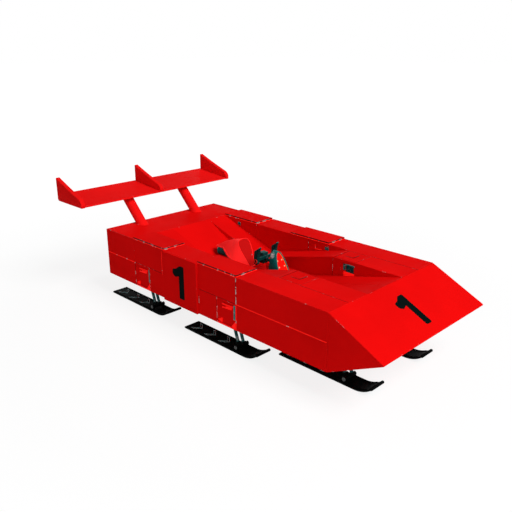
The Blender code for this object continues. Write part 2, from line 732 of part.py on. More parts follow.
# Wing: a thin cambered plane between two end fins, with a third fin standing at its middle.
def wing_top(x):
    share = -x / WING_CHORD
    return DECK + WING_FRONT_HEIGHT + WING_RISE * share - 4 * WING_SAG * share * (1 - share)


def wing_line(lift):
    """Side view of the plane's upper face, raised or lowered, from its front edge to its tail."""
    stations = [-WING_CHORD * step / 8 for step in range(9)]
    return [(x, wing_top(x) + lift) for x in stations]


def fin_crest():
    """Top edge of a fin, round at the front and then rising steadily to the tail."""
    crest = []
    for share in (0, 0.02, 0.06, 0.12, 0.35, 0.6, 0.8, 1.0):
        brow = math.sqrt(1 - (1 - min(share / 0.12, 1)) ** 2)
        climb = FIN_BROW * brow + (FIN_HEIGHT - FIN_BROW) * (0.87 * share + 0.13 * share ** 2)
        crest.append((-WING_CHORD * share, wing_top(0) + FIN_BASE + climb))
    return crest


def build_wing():
    half = WING_HALF_SPAN - FIN_THICK - GAP
    outline = wing_line(0) + list(reversed(wing_line(-WING_THICK)))
    plane = piece("wing_plane", side_solid(outline, (-half, half)), "red")
    break_edges(plane, WING_THICK / 4)
    low = wing_top(0) - FIN_DROP
    heel = 0.026
    rounding = circle((heel - WING_CHORD, low + heel), heel, 4, -math.pi, math.pi / 2)
    outline = [(0, low)] + fin_crest() + rounding
    for side, way in SIDES.items():
        across = (way * (WING_HALF_SPAN - FIN_THICK), way * WING_HALF_SPAN)
        break_edges(piece("wing_fin_" + side, side_solid(outline, across), "red"))
    outline = fin_crest() + list(reversed(wing_line(GAP)))
    break_edges(piece("wing_fin_centre", side_solid(outline, about(0, FIN_THICK / 2)), "red"))


# Wing struts: stout round posts from the rear deck up to the underside of the wing.
def build_strut(side):
    y = SIDES[side] * STRUT_Y
    lean = Vector((-math.sin(STRUT_LEAN), 0, math.cos(STRUT_LEAN)))
    foot = Vector((STRUT_FOOT_X, y, DECK))
    reach = (WING_FRONT_HEIGHT + WING_RISE) / math.cos(STRUT_LEAN) + STRUT_RADIUS
    post = rod(foot - lean * 2 * STRUT_RADIUS, foot + lean * reach, STRUT_RADIUS, 20)
    strut = piece("wing_strut_" + side, smooth(trimmed(post, (0, 0, DECK + GAP), (0, 0, 1))), "red")
    wide = STRUT_RADIUS + COAMING_WIDTH
    ratio = (STRUT_RADIUS / math.cos(STRUT_LEAN) + COAMING_WIDTH) / wide
    flange = [(foot.x + x * ratio, foot.y + across) for x, across in circle((0, 0), wide, 20)]
    add(strut, plan_solid(flange, (DECK + GAP, DECK + 0.007)))
    above = wing_line(-WING_THICK - GAP) + [(-WING_CHORD, 3 * DECK), (0, 3 * DECK)]
    cut(strut, side_solid(above, about(y, 2 * STRUT_RADIUS)))


# Skis: long flat runners with an upturned tip, edge rails, arrow strips and two ears for the pin.
def ski_line(lift, start, share=1.0):
    """Side view of the runner at a height above its sole, up to a share of the tip's curl."""
    flat = SKI_LENGTH - TIP_RADIUS * math.sin(TIP_TURN)
    radius = TIP_RADIUS - lift
    steps = 6
    points = [(start, lift)]
    for step in range(steps + 1):
        turn = TIP_TURN * share * step / steps
        points.append((flat + radius * math.sin(turn), TIP_RADIUS - radius * math.cos(turn)))
    return [(x - SKI_BEHIND_PIN, z - PIN_HEIGHT) for x, z in points]


def arrow(x):
    """Plan of a V-shaped strip that points forward."""
    back = x - ARROW_LENGTH
    return [
        (x, 0), (back, ARROW_HALF), (back - ARROW_STROKE, ARROW_HALF),
        (x - ARROW_STROKE, 0), (back - ARROW_STROKE, -ARROW_HALF), (back, -ARROW_HALF),
    ]


def build_ski(row, side):
    outline = ski_line(0, 0) + list(reversed(ski_line(SKI_THICK, 0)))
    ski = piece(f"ski_{row}_{side}", side_solid(outline, about(0, SKI_HALF)), "black", pin_point(row, side))
    sunk = EDGE
    rail = ski_line(SKI_THICK - sunk, RAIL_WIDTH, 0.92)
    rail += reversed(ski_line(SKI_THICK + RAIL_HEIGHT, RAIL_WIDTH, 0.92))
    floor = SKI_THICK - PIN_HEIGHT
    ear_foot = [(-1.4 * EAR_RADIUS, floor - sunk), (1.4 * EAR_RADIUS, floor - sunk)]
    ear = circle((0, 0), EAR_RADIUS, 8, 0, math.pi) + ear_foot
    for way in SIDES.values():
        edge = way * (SKI_HALF - RAIL_WIDTH)
        add(ski, side_solid(rail, (edge - way * RAIL_WIDTH, edge)))
        add(ski, side_solid(ear, (way * FORK_HALF, way * (FORK_HALF + EAR_THICK))))
    for place in ARROW_PLACES:
        add(ski, plan_solid(arrow(place - SKI_BEHIND_PIN), (floor - sunk, floor + RAIL_HEIGHT / 2)))
    across = FORK_HALF + 2 * EAR_THICK
    cut(ski, rod((0, -across, 0), (0, across, 0), PIN_RADIUS + PIN_FIT))


# Pins: plain shouldered pins through the ears, with a round head at each end.
def build_pin(row, side):
    shoulder = FORK_HALF + EAR_THICK + GAP
    end = shoulder + 0.007
    chamfer = 0.002
    profile = [
        (0, -end), (PIN_HEAD - chamfer, -end), (PIN_HEAD, -end + chamfer), (PIN_HEAD, -shoulder),
        (PIN_RADIUS, -shoulder), (PIN_RADIUS, shoulder), (PIN_HEAD, shoulder), (PIN_HEAD, end - chamfer),
        (PIN_HEAD - chamfer, end), (0, end),
    ]
    mesh = turned(profile, 12)
    mesh.transform(Matrix.Rotation(-math.pi / 2, 4, "X"))
    piece(f"pin_{row}_{side}", smooth(mesh), "steel", pin_point(row, side))


# Legs: two parallel rods joined by a foot over the pin and by a crown above the sleeve.
def build_leg(row, side):
    origin = Vector((0, 0, 0))
    half = FORK_HALF - 2 * GAP
    barrel = rod((0, -half, 0), (0, half, 0), EAR_RADIUS)
    leg = piece(f"leg_{row}_{side}", barrel, "steel", pin_point(row, side))
    foot_top = 0.045
    add(leg, leg_block(origin, PIN_RADIUS, foot_top, BLOCK_HALF - EDGE, SLEEVE_HALF))
    for way in (-1, 1):
        add(leg, leg_line(origin, foot_top / 2, CROWN_LOW + CROWN_THICK / 2, ROD_RADIUS, way * ROD_SPREAD))
    add(leg, leg_block(origin, CROWN_LOW, CROWN_LOW + CROWN_THICK, BLOCK_HALF, SLEEVE_HALF))
    cut(leg, rod((0, -2 * half, 0), (0, 2 * half, 0), PIN_RADIUS + GAP))


def bore_for_rods(item):
    """Bores the two rod holes of a leg through a sleeve whose origin is the leg's pin."""
    for way in (-1, 1):
        line = leg_line(Vector((0, 0, 0)), SLEEVE_LOW / 2, SLEEVE_TOP + WALL, ROD_RADIUS + ROD_FIT, way * ROD_SPREAD)
        cut(item, line)


# Cassettes: cast brackets on the pods' floors, each with a leaning sleeve block and an upright web.
def build_cassette(row, side):
    pin = pin_point(row, side)
    start = REAR_LENGTH if row == "rear" else POD_END - BAY_LENGTH
    block = leg_block(Vector((0, 0, 0)), SLEEVE_LOW, SLEEVE_TOP, BLOCK_HALF, SLEEVE_HALF)
    cassette = piece(f"cassette_{row}_{side}", block, "teal", pin)
    floor = BELLY + WALL + GAP - pin.z
    rear = -leg_length_to(BELLY + WALL) * math.sin(LEG_LEAN) - BLOCK_HALF - 0.014
    front = start + BAY_LENGTH - 0.010 - pin.x
    inside = POD_WIDTH / 2 - WALL - CLEAR
    add(cassette, box((rear, front), about(0, inside), (floor, floor + 0.012)))
    web = (front - 0.024, front - 0.002)
    root = floor + EDGE
    add(cassette, box(web, about(0, inside - EDGE), (root, floor + SLIT_LOW + SLIT_HEIGHT)))
    tall = (web[0] + EDGE / 2, web[1] - EDGE / 2)
    inner_edge = -SIDES[side] * inside
    add(cassette, box(tall, (inner_edge, inner_edge / 4), (root, DECK - WALL - CLEAR - pin.z)))
    bore_for_rods(cassette)


# Steering drums: flanged round blocks that turn in the hull's bosses and guide the front legs.
def build_drum(side):
    neck = BLOCK_HALF + CLEAR
    low = SLEEVE_LOW + math.tan(LEG_LEAN) * DRUM_RADIUS
    profile = [
        (0, low), (DRUM_RADIUS, low), (DRUM_RADIUS, FLANGE_LOW), (DRUM_FLANGE, FLANGE_LOW),
        (DRUM_FLANGE, FLANGE_LOW + FLANGE_THICK), (neck, FLANGE_LOW + FLANGE_THICK), (neck, SLEEVE_TOP),
        (0, SLEEVE_TOP),
    ]
    mesh = turned(profile, 24)
    mesh.transform(Matrix.Rotation(-LEG_LEAN, 4, "Y"))
    drum = piece("steer_drum_" + side, smooth(mesh), "teal", pin_point("front", side))
    bore_for_rods(drum)


# Steering gear cases: blocks bolted to the front decks' inner walls, seen through the windows.
def build_gear_case(side):
    way = SIDES[side]
    wall = way * (TRAY_HALF + WALL + GAP)
    middle = Vector((gear_window_x(), wall, DECK - 0.105))
    case = piece("gear_case_" + side, box(about(0, 0.058), (0, way * 0.090), about(0, 0.062)), "teal", middle)
    break_edges(case)
    head = 0.012
    eye = (-0.015, 0.012)
    add(case, side_solid(circle(eye, 0.022, 12), about(0, head)))
    cut(case, side_solid(circle(eye, 0.012, 12), (-way * 2 * head, way * head / 3)))


build_lower_hull()
build_rear_deck()
build_nose()
build_tray()
build_seat()
build_fairing()
build_nozzle()
build_cowl()
build_yoke()
build_wing()
for each_side in SIDES:
    build_side_pod(each_side)
    build_pod_panels(each_side)
    build_front_deck(each_side)
    build_hatch(each_side)
    build_valley_panel(each_side)
    build_strut(each_side)
    build_drum(each_side)
    build_gear_case(each_side)
    for each_row in PIN_X:
        build_ski(each_row, each_side)
        build_pin(each_row, each_side)
        build_leg(each_row, each_side)
    for each_row in ("rear", "middle"):
        build_cassette(each_row, each_side)
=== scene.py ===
"""Racing sled: paint, metal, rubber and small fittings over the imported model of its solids."""
import math

import bmesh
import bpy
from mathutils import Matrix, Vector


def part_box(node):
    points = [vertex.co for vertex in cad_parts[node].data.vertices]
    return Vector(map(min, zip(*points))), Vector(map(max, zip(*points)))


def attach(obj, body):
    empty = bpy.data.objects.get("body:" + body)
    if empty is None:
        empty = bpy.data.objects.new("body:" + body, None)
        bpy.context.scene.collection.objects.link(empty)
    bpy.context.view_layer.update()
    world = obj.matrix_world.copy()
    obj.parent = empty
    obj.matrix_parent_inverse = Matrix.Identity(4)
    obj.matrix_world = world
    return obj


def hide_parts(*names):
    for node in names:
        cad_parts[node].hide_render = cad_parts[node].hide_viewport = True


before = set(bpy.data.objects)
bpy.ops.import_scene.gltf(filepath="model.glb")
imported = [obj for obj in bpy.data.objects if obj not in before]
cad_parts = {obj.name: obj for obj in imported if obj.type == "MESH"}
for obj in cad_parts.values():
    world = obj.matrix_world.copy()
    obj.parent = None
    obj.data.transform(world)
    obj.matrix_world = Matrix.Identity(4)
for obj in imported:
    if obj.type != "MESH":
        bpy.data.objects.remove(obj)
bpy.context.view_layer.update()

# The studio: a white floor in a white room, one broad lamp high ahead of the nose and a weaker
# one to the driver's right. The camera stands off the sled's right front corner, a little above
# it, and looks down along the diagonal.
CAMERA_AT = (4.049, -4.063, 2.660)
CAMERA_ALONG = Vector((-2, 2, -1))
ROOM_HALF = 60.0
ROOM_LIGHT = 0.20
KEY_ALONG = Vector((-0.78, -0.05, -0.86))
SIDE_ALONG = Vector((-0.25, 0.9, -0.35))
LAMP_TARGET = Vector((0, 0, 0.5))
LAMP_DISTANCE = 30.0
LAMP_SIZE = 14.0
KEY_POWER = 9200
SIDE_POWER = 940
WHITE = (1, 1, 1, 1)
FLOOR_GREY = (0.74, 0.74, 0.74, 1)
FLOOR_DROP = 0.0005
FLOOR_GLOW = 0.80
GLOW_STRENGTH = 1.06
GLOW_NEAR = 2.5
GLOW_FAR = 8.0

scene = bpy.context.scene
scene.view_settings.view_transform = "Standard"
camera = bpy.data.objects.new("camera", bpy.data.cameras.new("camera"))
camera.data.angle = math.radians(45)
camera.location = CAMERA_AT
camera.rotation_euler = CAMERA_ALONG.to_track_quat("-Z", "Y").to_euler()
scene.collection.objects.link(camera)
scene.camera = camera


def hang_lamp(name, along, power):
    lamp = bpy.data.objects.new(name, bpy.data.lights.new(name, "AREA"))
    lamp.data.energy = power
    lamp.data.size = LAMP_SIZE
    lamp.location = LAMP_TARGET - along.normalized() * LAMP_DISTANCE
    lamp.rotation_euler = along.to_track_quat("-Z", "Y").to_euler()
    scene.collection.objects.link(lamp)


def plug(socket, value):
    """Gives a node's input its value, or its link from another node."""
    if isinstance(value, bpy.types.NodeSocket):
        socket.id_data.links.new(value, socket)
    else:
        socket.default_value = value


def feed(node, **named):
    """Sets or links a node's inputs by name, with _ for each space."""
    for key, value in named.items():
        plug(node.inputs[key.replace("_", " ")], value)


def step(tree, kind, *feeds, settings=None, **named):
    """One node of a material. Its inputs are given in order or by name, as values or as links."""
    made = tree.nodes.new("ShaderNode" + kind)
    for key, value in (settings or {}).items():
        setattr(made, key, value)
    for place, value in enumerate(feeds):
        plug(made.inputs[place], value)
    feed(made, **named)
    return made


def maths(operation, first, second):
    return step(first.id_data, "Math", first, second, settings={"operation": operation}).outputs[0]


def looked_at(tree):
    """1 where the camera, a mirror or a glass looks, and 0 where light is only gathered."""
    path = step(tree, "LightPath").outputs
    gloss_or_glass = maths("MAXIMUM", path["Is Glossy Ray"], path["Is Transmission Ray"])
    return maths("MAXIMUM", path["Is Camera Ray"], gloss_or_glass)


hang_lamp("key_lamp", KEY_ALONG, KEY_POWER)
hang_lamp("side_lamp", SIDE_ALONG, SIDE_POWER)
scene.world = bpy.data.worlds.new("room")
scene.world.use_nodes = True
room = scene.world.node_tree
room_level = step(room, "MapRange", looked_at(room), 0.0, 1.0, ROOM_LIGHT, 1.0).outputs[0]
feed(room.nodes["Background"], Color=WHITE, Strength=room_level)

floor_paint = bpy.data.materials.new("floor_paint")
floor_paint.use_nodes = True
tree = floor_paint.node_tree
matt = step(tree, "BsdfDiffuse", Color=FLOOR_GREY).outputs[0]
glow = step(tree, "Emission", Color=WHITE, Strength=GLOW_STRENGTH).outputs[0]
away = step(tree, "VectorMath", step(tree, "TexCoord").outputs["Object"], settings={"operation": "LENGTH"})
glow_level = step(tree, "MapRange", away.outputs["Value"], GLOW_NEAR, GLOW_FAR, FLOOR_GLOW, 1.0).outputs[0]
glow_share = maths("MULTIPLY", looked_at(tree), glow_level)
floor_surface = step(tree, "MixShader", glow_share, matt, glow).outputs[0]
feed(tree.nodes["Material Output"], Surface=floor_surface)

bm = bmesh.new()
bmesh.ops.create_grid(bm, x_segments=4, y_segments=4, size=ROOM_HALF)
floor_mesh = bpy.data.meshes.new("floor")
bm.to_mesh(floor_mesh)
bm.free()
floor_mesh.materials.append(floor_paint)
floor = bpy.data.objects.new("floor", floor_mesh)
floor.location.z = -FLOOR_DROP
scene.collection.objects.link(floor)

# The hull: moulded composite boxes and shells, filled, sprayed red and polished. The big panels
# are the imported solids themselves. Use has left faint scuffs, and chips that show the primer
# along the edges. A brighter red along the edges is a painted highlight.
SIDES = {"left": 1, "right": -1}
HULL_SHELLS = ["lower_hull", "rear_deck", "nose_cone", "cockpit_tray"]
HULL_SHELLS += [f"{shell}_{side}" for shell in ("side_pod", "front_deck", "valley_panel") for side in SIDES]
HULL_RED = (0.71, 0.0030, 0.0030, 1)
EDGE_HIGHLIGHT_RED = (0.95, 0.010, 0.008, 1)
PRIMER = (0.36, 0.40, 0.40, 1)
EDGE_HIGHLIGHT_REACH = 0.0035
EDGE_HIGHLIGHT_SHARE = 0.85
CHIP_REACH = 0.005
PEEL_SCALE = 320
PEEL_DEPTH = 0.00012


def tinted(colour, factor):
    return tuple(min(channel * factor, 1) for channel in colour[:3]) + (1,)


def grain(tree, scale, detail=3.0, stretch=(1, 1, 1)):
    """A random value over the sled's own metres, drawn out along an axis where stretch is small."""
    place = step(tree, "TexCoord").outputs["Object"]
    drawn = step(tree, "Mapping", Vector=place, Scale=stretch).outputs[0]
    return step(tree, "TexNoise", Vector=drawn, Scale=scale, Detail=detail).outputs[0]


def between(value, low, high, first=0.0, last=1.0):
    """The value carried smoothly from one range to another."""
    smooth = {"interpolation_type": "SMOOTHSTEP"}
    return step(value.id_data, "MapRange", value, low, high, first, last, settings=smooth).outputs[0]


def mixed(share, first, second):
    return step(share.id_data, "MixRGB", share, first, second).outputs[0]


def rounded_normal(tree, radius):
    return step(tree, "Bevel", settings={"samples": 4}, Radius=radius).outputs[0]


def edge_share(tree, radius):
    """1 on an edge and 0 on a flat, from how far the rounded surface turns from the true one."""
    true = step(tree, "NewGeometry").outputs["Normal"]
    match = step(tree, "VectorMath", rounded_normal(tree, radius), true,
                 settings={"operation": "DOT_PRODUCT"}).outputs["Value"]
    return between(match, 0.99, 0.88)


def new_material(name):
    material = bpy.data.materials.new(name)
    material.use_nodes = True
    return material, material.node_tree, material.node_tree.nodes["Principled BSDF"]


def relief(height, depth, radius):
    """Fine relief on a surface whose edges are rounded over."""
    smooth = rounded_normal(height.id_data, radius)
    return step(height.id_data, "Bump", Strength=0.5, Distance=depth, Height=height, Normal=smooth).outputs[0]


def sprayed_paint(name, colour, highlight_colour, gloss, specular=0.0015):
    """Sprayed colour: faint clouds, orange peel, long scuffs, chipped edges and a painted highlight on the edges."""
    material, tree, shader = new_material(name)
    clouds = between(grain(tree, 1.6), 0.35, 0.65)
    body = mixed(clouds, tinted(colour, 0.95), tinted(colour, 1.04))
    scuffs = between(grain(tree, 24, 4, (0.05, 1, 1)), 0.66, 0.74, 0, 0.10)
    body = mixed(scuffs, body, tinted(colour, 1.25))
    # A brighter red on the edges: a painted highlight.
    body = mixed(maths("MULTIPLY", edge_share(tree, EDGE_HIGHLIGHT_REACH), EDGE_HIGHLIGHT_SHARE), body, highlight_colour)
    chips = maths("MULTIPLY", edge_share(tree, CHIP_REACH), between(grain(tree, 15, 5), 0.63, 0.66))
    body = mixed(chips, body, PRIMER)
    rough = between(grain(tree, 5.5), 0.3, 0.7, gloss - 0.04, gloss + 0.07)
    rough = maths("ADD", rough, maths("MULTIPLY", scuffs, 1.5))
    feed(shader, Base_Color=body, Roughness=rough, Specular_IOR_Level=specular,
         Normal=relief(grain(tree, PEEL_SCALE, 2), PEEL_DEPTH, 0.003))
    return material


def dress(material, names):
    """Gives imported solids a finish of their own."""
    for name in names:
        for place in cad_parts[name].material_slots:
            place.material = material


dress(sprayed_paint("hull_paint", HULL_RED, EDGE_HIGHLIGHT_RED, 0.36), HULL_SHELLS)

# Number panels, deck plates and hatch lids: separate flat panels, sprayed in the same red but
# handled more, so that they are a little duller.
PANEL_RED = (0.69, 0.0030, 0.0030, 1)
PANELS = [f"{kind}_{side}" for kind in ("number_panel", "deck_plate_rear", "deck_plate_front", "hatch")
          for side in SIDES]
dress(sprayed_paint("panel_paint", PANEL_RED, EDGE_HIGHLIGHT_RED, 0.42), PANELS)

# Joint beads: half-round strips of bright red, glued into the joints between the hull's boxes
# and rubbed through to the primer in places; their bright red and slight glow are a painted
# highlight along the joints. Thin dark lines in the seams and round the hatch lids are painted
# shadow lines, and a bead of filler runs along the deck's edges, where the paint is worn most.
BEAD_HIGHLIGHT_RED = (1.0, 0.012, 0.008, 1)
RUBBED_BARE = (0.40, 0.50, 0.50, 1)
BEAD_RADIUS = 0.0032
BEAD_PROUD = 0.0018
SEAM_RADIUS = BEAD_RADIUS / 2
EDGE_BEAD_RADIUS = 0.0026
EDGE_BEAD_SUNK = 0.0008
CORNER = 0.008
rear_low, rear_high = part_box("rear_deck")
AFT, WAIST = rear_low.x, rear_low.z
HALF_BODY, DECK = rear_high.y, rear_high.z
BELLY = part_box("lower_hull")[0].z
POD_INNER = abs(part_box("side_pod_left")[0].y)
PANEL_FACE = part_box("number_panel_left")[1].y
STEP_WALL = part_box("hatch_left")[0].y - 0.010
VALLEY_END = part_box("valley_panel_left")[1].x
REAR_JOINT = AFT + 0.50
BAY_FRONT = AFT + 0.746
UPPER_JOINT = AFT + 0.985
PANEL_FRONT = AFT + 1.502
BAY_REAR = AFT + 1.752
FRONT_JOINT = AFT + 2.0
HATCH_FRONT = AFT + 2.504
NOSE_JOINT = AFT + 3.0
LID_GAP = 0.002


def worn_bead(name, colour, worn_from, glow=0.0, spots=16, bare=PRIMER):
    """Paint on a thin crest, rubbed to the primer in specks; a glow, where given, is a painted highlight."""
    material, tree, shader = new_material(name)
    rubbed = between(grain(tree, spots, 4), worn_from, worn_from + 0.03)
    speckle = between(grain(tree, 90, 3), 0.3, 0.6, 0.35, 1.0)
    worn = maths("MULTIPLY", rubbed, speckle)
    clouds = mixed(between(grain(tree, 40), 0.3, 0.7), tinted(colour, 0.85), colour)
    # The emission, where a glow is given, is a painted highlight.
    feed(shader, Base_Color=mixed(worn, clouds, bare), Specular_IOR_Level=0.01,
         Emission_Color=mixed(worn, clouds, (0, 0, 0, 1)), Emission_Strength=glow,
         Roughness=between(grain(tree, 60), 0.3, 0.7, 0.28, 0.44),
         Normal=relief(grain(tree, 260, 2), 0.0002, 0.001))
    return material


def to_mesh(bm, sharp=35.0):
    """Mesh with its faces turned outwards, smooth but for edges sharper than the given angle."""
    bmesh.ops.recalc_face_normals(bm, faces=bm.faces)
    mesh = bpy.data.meshes.new("piece")
    bm.to_mesh(mesh)
    bm.free()
    mesh.shade_smooth()
    mesh.set_sharp_from_angle(angle=math.radians(sharp))
    return mesh


def add_piece(name, mesh, material, body, record_slot, *stands_for):
    """A piece in the sled's own metres, which moves with a body and may stand for solids."""
    mesh.name = name
    item = bpy.data.objects.new(name, mesh)
    mesh.materials.clear()
    mesh.materials.append(material)
    scene.collection.objects.link(item)
    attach(item, body)
    if stands_for:
        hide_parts(*stands_for)


def skin(rows, bm=None, loop=True, close=True):
    """Faces through rows of points, joined round each row and closed at both ends if asked."""
    bm = bm or bmesh.new()
    made = [[bm.verts.new(point) for point in row] for row in rows]
    count = len(made[0])
    for row, after in zip(made, made[1:]):
        for place in range(count if loop else count - 1):
            beside = (place + 1) % count
            bm.faces.new((row[place], row[beside], after[beside], after[place]))
    if close:
        bm.faces.new(made[0])
        bm.faces.new(made[-1])
    return bm


def full_turn(sides):
    return [math.tau * side / sides for side in range(sides)]


def bead_rows(start, end, radius, sides=10):
    """Rings of a round strip with domed ends."""
    start = Vector(start)
    along = Vector(end) - start
    across = along.normalized().orthogonal()
    around = along.normalized().cross(across)
    reach = radius / along.length
    dome = [(0, 0.3), (reach * 0.4, 0.8), (reach, 1)]
    rows = []
    for share, size in dome + [(0.5, 1)] + [(1 - share, size) for share, size in reversed(dome)]:
        middle = start + along * share
        rows.append([middle + (across * math.cos(turn) + around * math.sin(turn)) * radius * size
                     for turn in full_turn(sides)])
    return rows


def add_beads(name, lines, radius, material):
    bm = bmesh.new()
    for start, end in lines:
        skin(bead_rows(start, end, radius), bm)
    add_piece(name, to_mesh(bm), material, "hull", "hull_red")


def on_wall(y, *runs):
    """Lines on an upright wall, each given from (x, z) to (x, z)."""
    return [((x0, y, z0), (x1, y, z1)) for (x0, z0), (x1, z1) in runs]


def upright(x, low, high):
    return (x, low), (x, high)


def level_rim(x, y, z):
    """Four lines round a level rectangle, given by its two x and its two y values."""
    corners = [(x[0], y[0], z), (x[1], y[0], z), (x[1], y[1], z), (x[0], y[1], z)]
    return list(zip(corners, corners[1:] + corners[:1]))


# Bright red beads that glow: a painted highlight along the joints and bars.
bead_highlight_paint = worn_bead("bead_highlight_paint", BEAD_HIGHLIGHT_RED, 0.60, 0.30)
rubbed_paint = worn_bead("rubbed_bead", (0.30, 0.004, 0.004, 1), 0.53, spots=30, bare=RUBBED_BARE)
edge_coat = worn_bead("edge_coat", (0.74, 0.004, 0.004, 1), 0.61, spots=20, bare=(0.28, 0.31, 0.31, 1))
joint_paint = worn_bead("joint_paint", (0.24, 0.004, 0.004, 1), 0.47, spots=34, bare=(0.40, 0.54, 0.54, 1))
# Dark lines in the seams and round the lids: painted shadow lines.
scribed = worn_bead("painted_shadow_line", (0.16, 0.004, 0.004, 1), 0.58, spots=30, bare=(0.12, 0.12, 0.12, 1))
for side, way in SIDES.items():
    outside = way * (HALF_BODY + BEAD_PROUD - BEAD_RADIUS)
    inside = way * (POD_INNER - BEAD_PROUD + BEAD_RADIUS)
    step_wall = way * (STEP_WALL - BEAD_PROUD + BEAD_RADIUS)
    flush = way * (HALF_BODY - SEAM_RADIUS / 2)
    under, brim, rim = BELLY + CORNER, DECK - CORNER, DECK - EDGE_BEAD_SUNK
    seam, top = WAIST + CORNER / 4, DECK - SEAM_RADIUS / 2
    lid_low, lid_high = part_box("hatch_" + side)
    lid_x = (lid_low.x - LID_GAP, lid_high.x + LID_GAP)
    lid_y = (lid_low.y - LID_GAP, lid_high.y + LID_GAP)
    beads = {
        "side_beads": (BEAD_RADIUS, bead_highlight_paint, on_wall(
            outside,
            ((AFT + CORNER, WAIST), (REAR_JOINT - CORNER / 2, WAIST)),
            ((FRONT_JOINT + CORNER / 2, WAIST), (NOSE_JOINT - CORNER, WAIST)),
            upright(FRONT_JOINT, under, WAIST))),
        "front_joint": (BEAD_RADIUS, joint_paint, on_wall(outside, upright(FRONT_JOINT, WAIST, brim))),
        "rubbed_beads": (BEAD_RADIUS * 0.7, rubbed_paint, on_wall(
            outside,
            upright(BAY_REAR, under, WAIST),
            upright(BAY_FRONT, under, WAIST),
            upright(REAR_JOINT, under, WAIST + CORNER / 2),
            upright(PANEL_FRONT + BEAD_RADIUS, BELLY + 0.11, BELLY + 0.19))),
        "inner_beads": (BEAD_RADIUS * 0.8, rubbed_paint, on_wall(
            inside,
            upright(BAY_REAR - 0.010, 0.570, brim),
            upright(FRONT_JOINT - 0.006, 0.700, brim)) + on_wall(
            step_wall,
            upright(VALLEY_END, 0.566, brim),
            upright(VALLEY_END + 0.094, 0.622, 0.714),
            ((VALLEY_END + 0.058, 0.602), (VALLEY_END + 0.112, 0.615)))),
        "inner_bars": (BEAD_RADIUS, bead_highlight_paint, on_wall(
            inside,
            ((BAY_REAR + 0.078, 0.665), (BAY_REAR + 0.165, 0.674)),
            upright(BAY_REAR + 0.078, 0.665, 0.712))),
        "deck_edge": (EDGE_BEAD_RADIUS, edge_coat, on_wall(
            way * (HALF_BODY - EDGE_BEAD_SUNK), ((AFT + CORNER, rim), (NOSE_JOINT - CORNER, rim)))),
        "panel_end": (BEAD_RADIUS * 0.45, bead_highlight_paint, on_wall(
            way * (PANEL_FACE - BEAD_RADIUS * 0.5), upright(UPPER_JOINT + 0.004, WAIST, brim))),
        "shadow_lines": (SEAM_RADIUS, scribed, on_wall(
            flush,
            ((REAR_JOINT + CORNER, seam), (UPPER_JOINT, seam)),
            ((PANEL_FRONT + CORNER, seam), (FRONT_JOINT - CORNER, seam))) + on_wall(
            way * POD_INNER,
            ((HATCH_FRONT, top), (NOSE_JOINT - CORNER, top)))),
        "lid_shadow_line": (SEAM_RADIUS * 0.75, scribed, level_rim(lid_x, lid_y, top)),
    }
    for name, (radius, paint, lines) in beads.items():
        add_beads(f"{name}_{side}", lines, radius, paint)

# Race numerals: a plain figure one on each number panel and on the nose, cut from near-black
# vinyl film and pressed on.
FILM = (0.0006, 0.0038, 0.0034, 1)
FILM_THICK = 0.0008
FIGURE_HEIGHT = 0.329
FIGURE_WIDTH = 0.165
FIGURE_STEM = 0.074
FIGURE_ON_PANEL = AFT + 1.157
FIGURE_ON_NOSE = 0.130
FIGURE_TO_RIGHT = 0.118
NOSE_LENGTH = 0.5
NOSE_LOW = 0.005


def softened(points, radius, steps=4):
    """Closed outline with each corner eased into a short curve."""
    eased = []
    for place, corner in enumerate(points):
        here = Vector(corner)
        before = Vector(points[place - 1]) - here
        after = Vector(points[(place + 1) % len(points)]) - here
        first = here + before.normalized() * min(radius, before.length * 0.45)
        last = here + after.normalized() * min(radius, after.length * 0.45)
        for part in range(steps + 1):
            share = part / steps
            eased.append(first * (1 - share) ** 2 + here * 2 * share * (1 - share) + last * share ** 2)
    return [tuple(point) for point in eased]


def slab(points, thickness, round_over, segments):
    """Solid of a flat outline in XY, with its thickness about z = 0 and its edges rounded over."""
    bm = bmesh.new()
    face = bm.faces.new([bm.verts.new((x, y, -thickness / 2)) for x, y in points])
    raised = bmesh.ops.extrude_face_region(bm, geom=[face])["geom"]
    top = [item for item in raised if isinstance(item, bmesh.types.BMVert)]
    bmesh.ops.translate(bm, vec=(0, 0, thickness), verts=top)
    bmesh.ops.recalc_face_normals(bm, faces=bm.faces)
    sharp = [edge for edge in bm.edges if edge.calc_face_angle(0) > math.radians(28)]
    bmesh.ops.bevel(bm, geom=sharp, offset=round_over, segments=segments, profile=0.5, affect="EDGES")
    return to_mesh(bm)


def placed(mesh, at):
    mesh.transform(at)
    return mesh


def on_face(origin, right, up):
    """Turns an outline's plane to lie on a face, given the directions of its right and its top."""
    right = Vector(right).normalized()
    up = Vector(up).normalized()
    turn = Matrix((right, up, right.cross(up))).transposed().to_4x4()
    return Matrix.Translation(origin) @ turn


def vinyl_film():
    material, tree, shader = new_material("numeral_film")
    dust = between(grain(tree, 70, 5), 0.55, 0.75, 0, 0.25)
    feed(shader, Base_Color=mixed(dust, FILM, tinted(FILM, 2)), Specular_IOR_Level=0.008,
         Roughness=between(grain(tree, 12), 0.3, 0.7, 0.42, 0.58),
         Normal=relief(grain(tree, 500, 2), 0.00008, 0.0004))
    return material


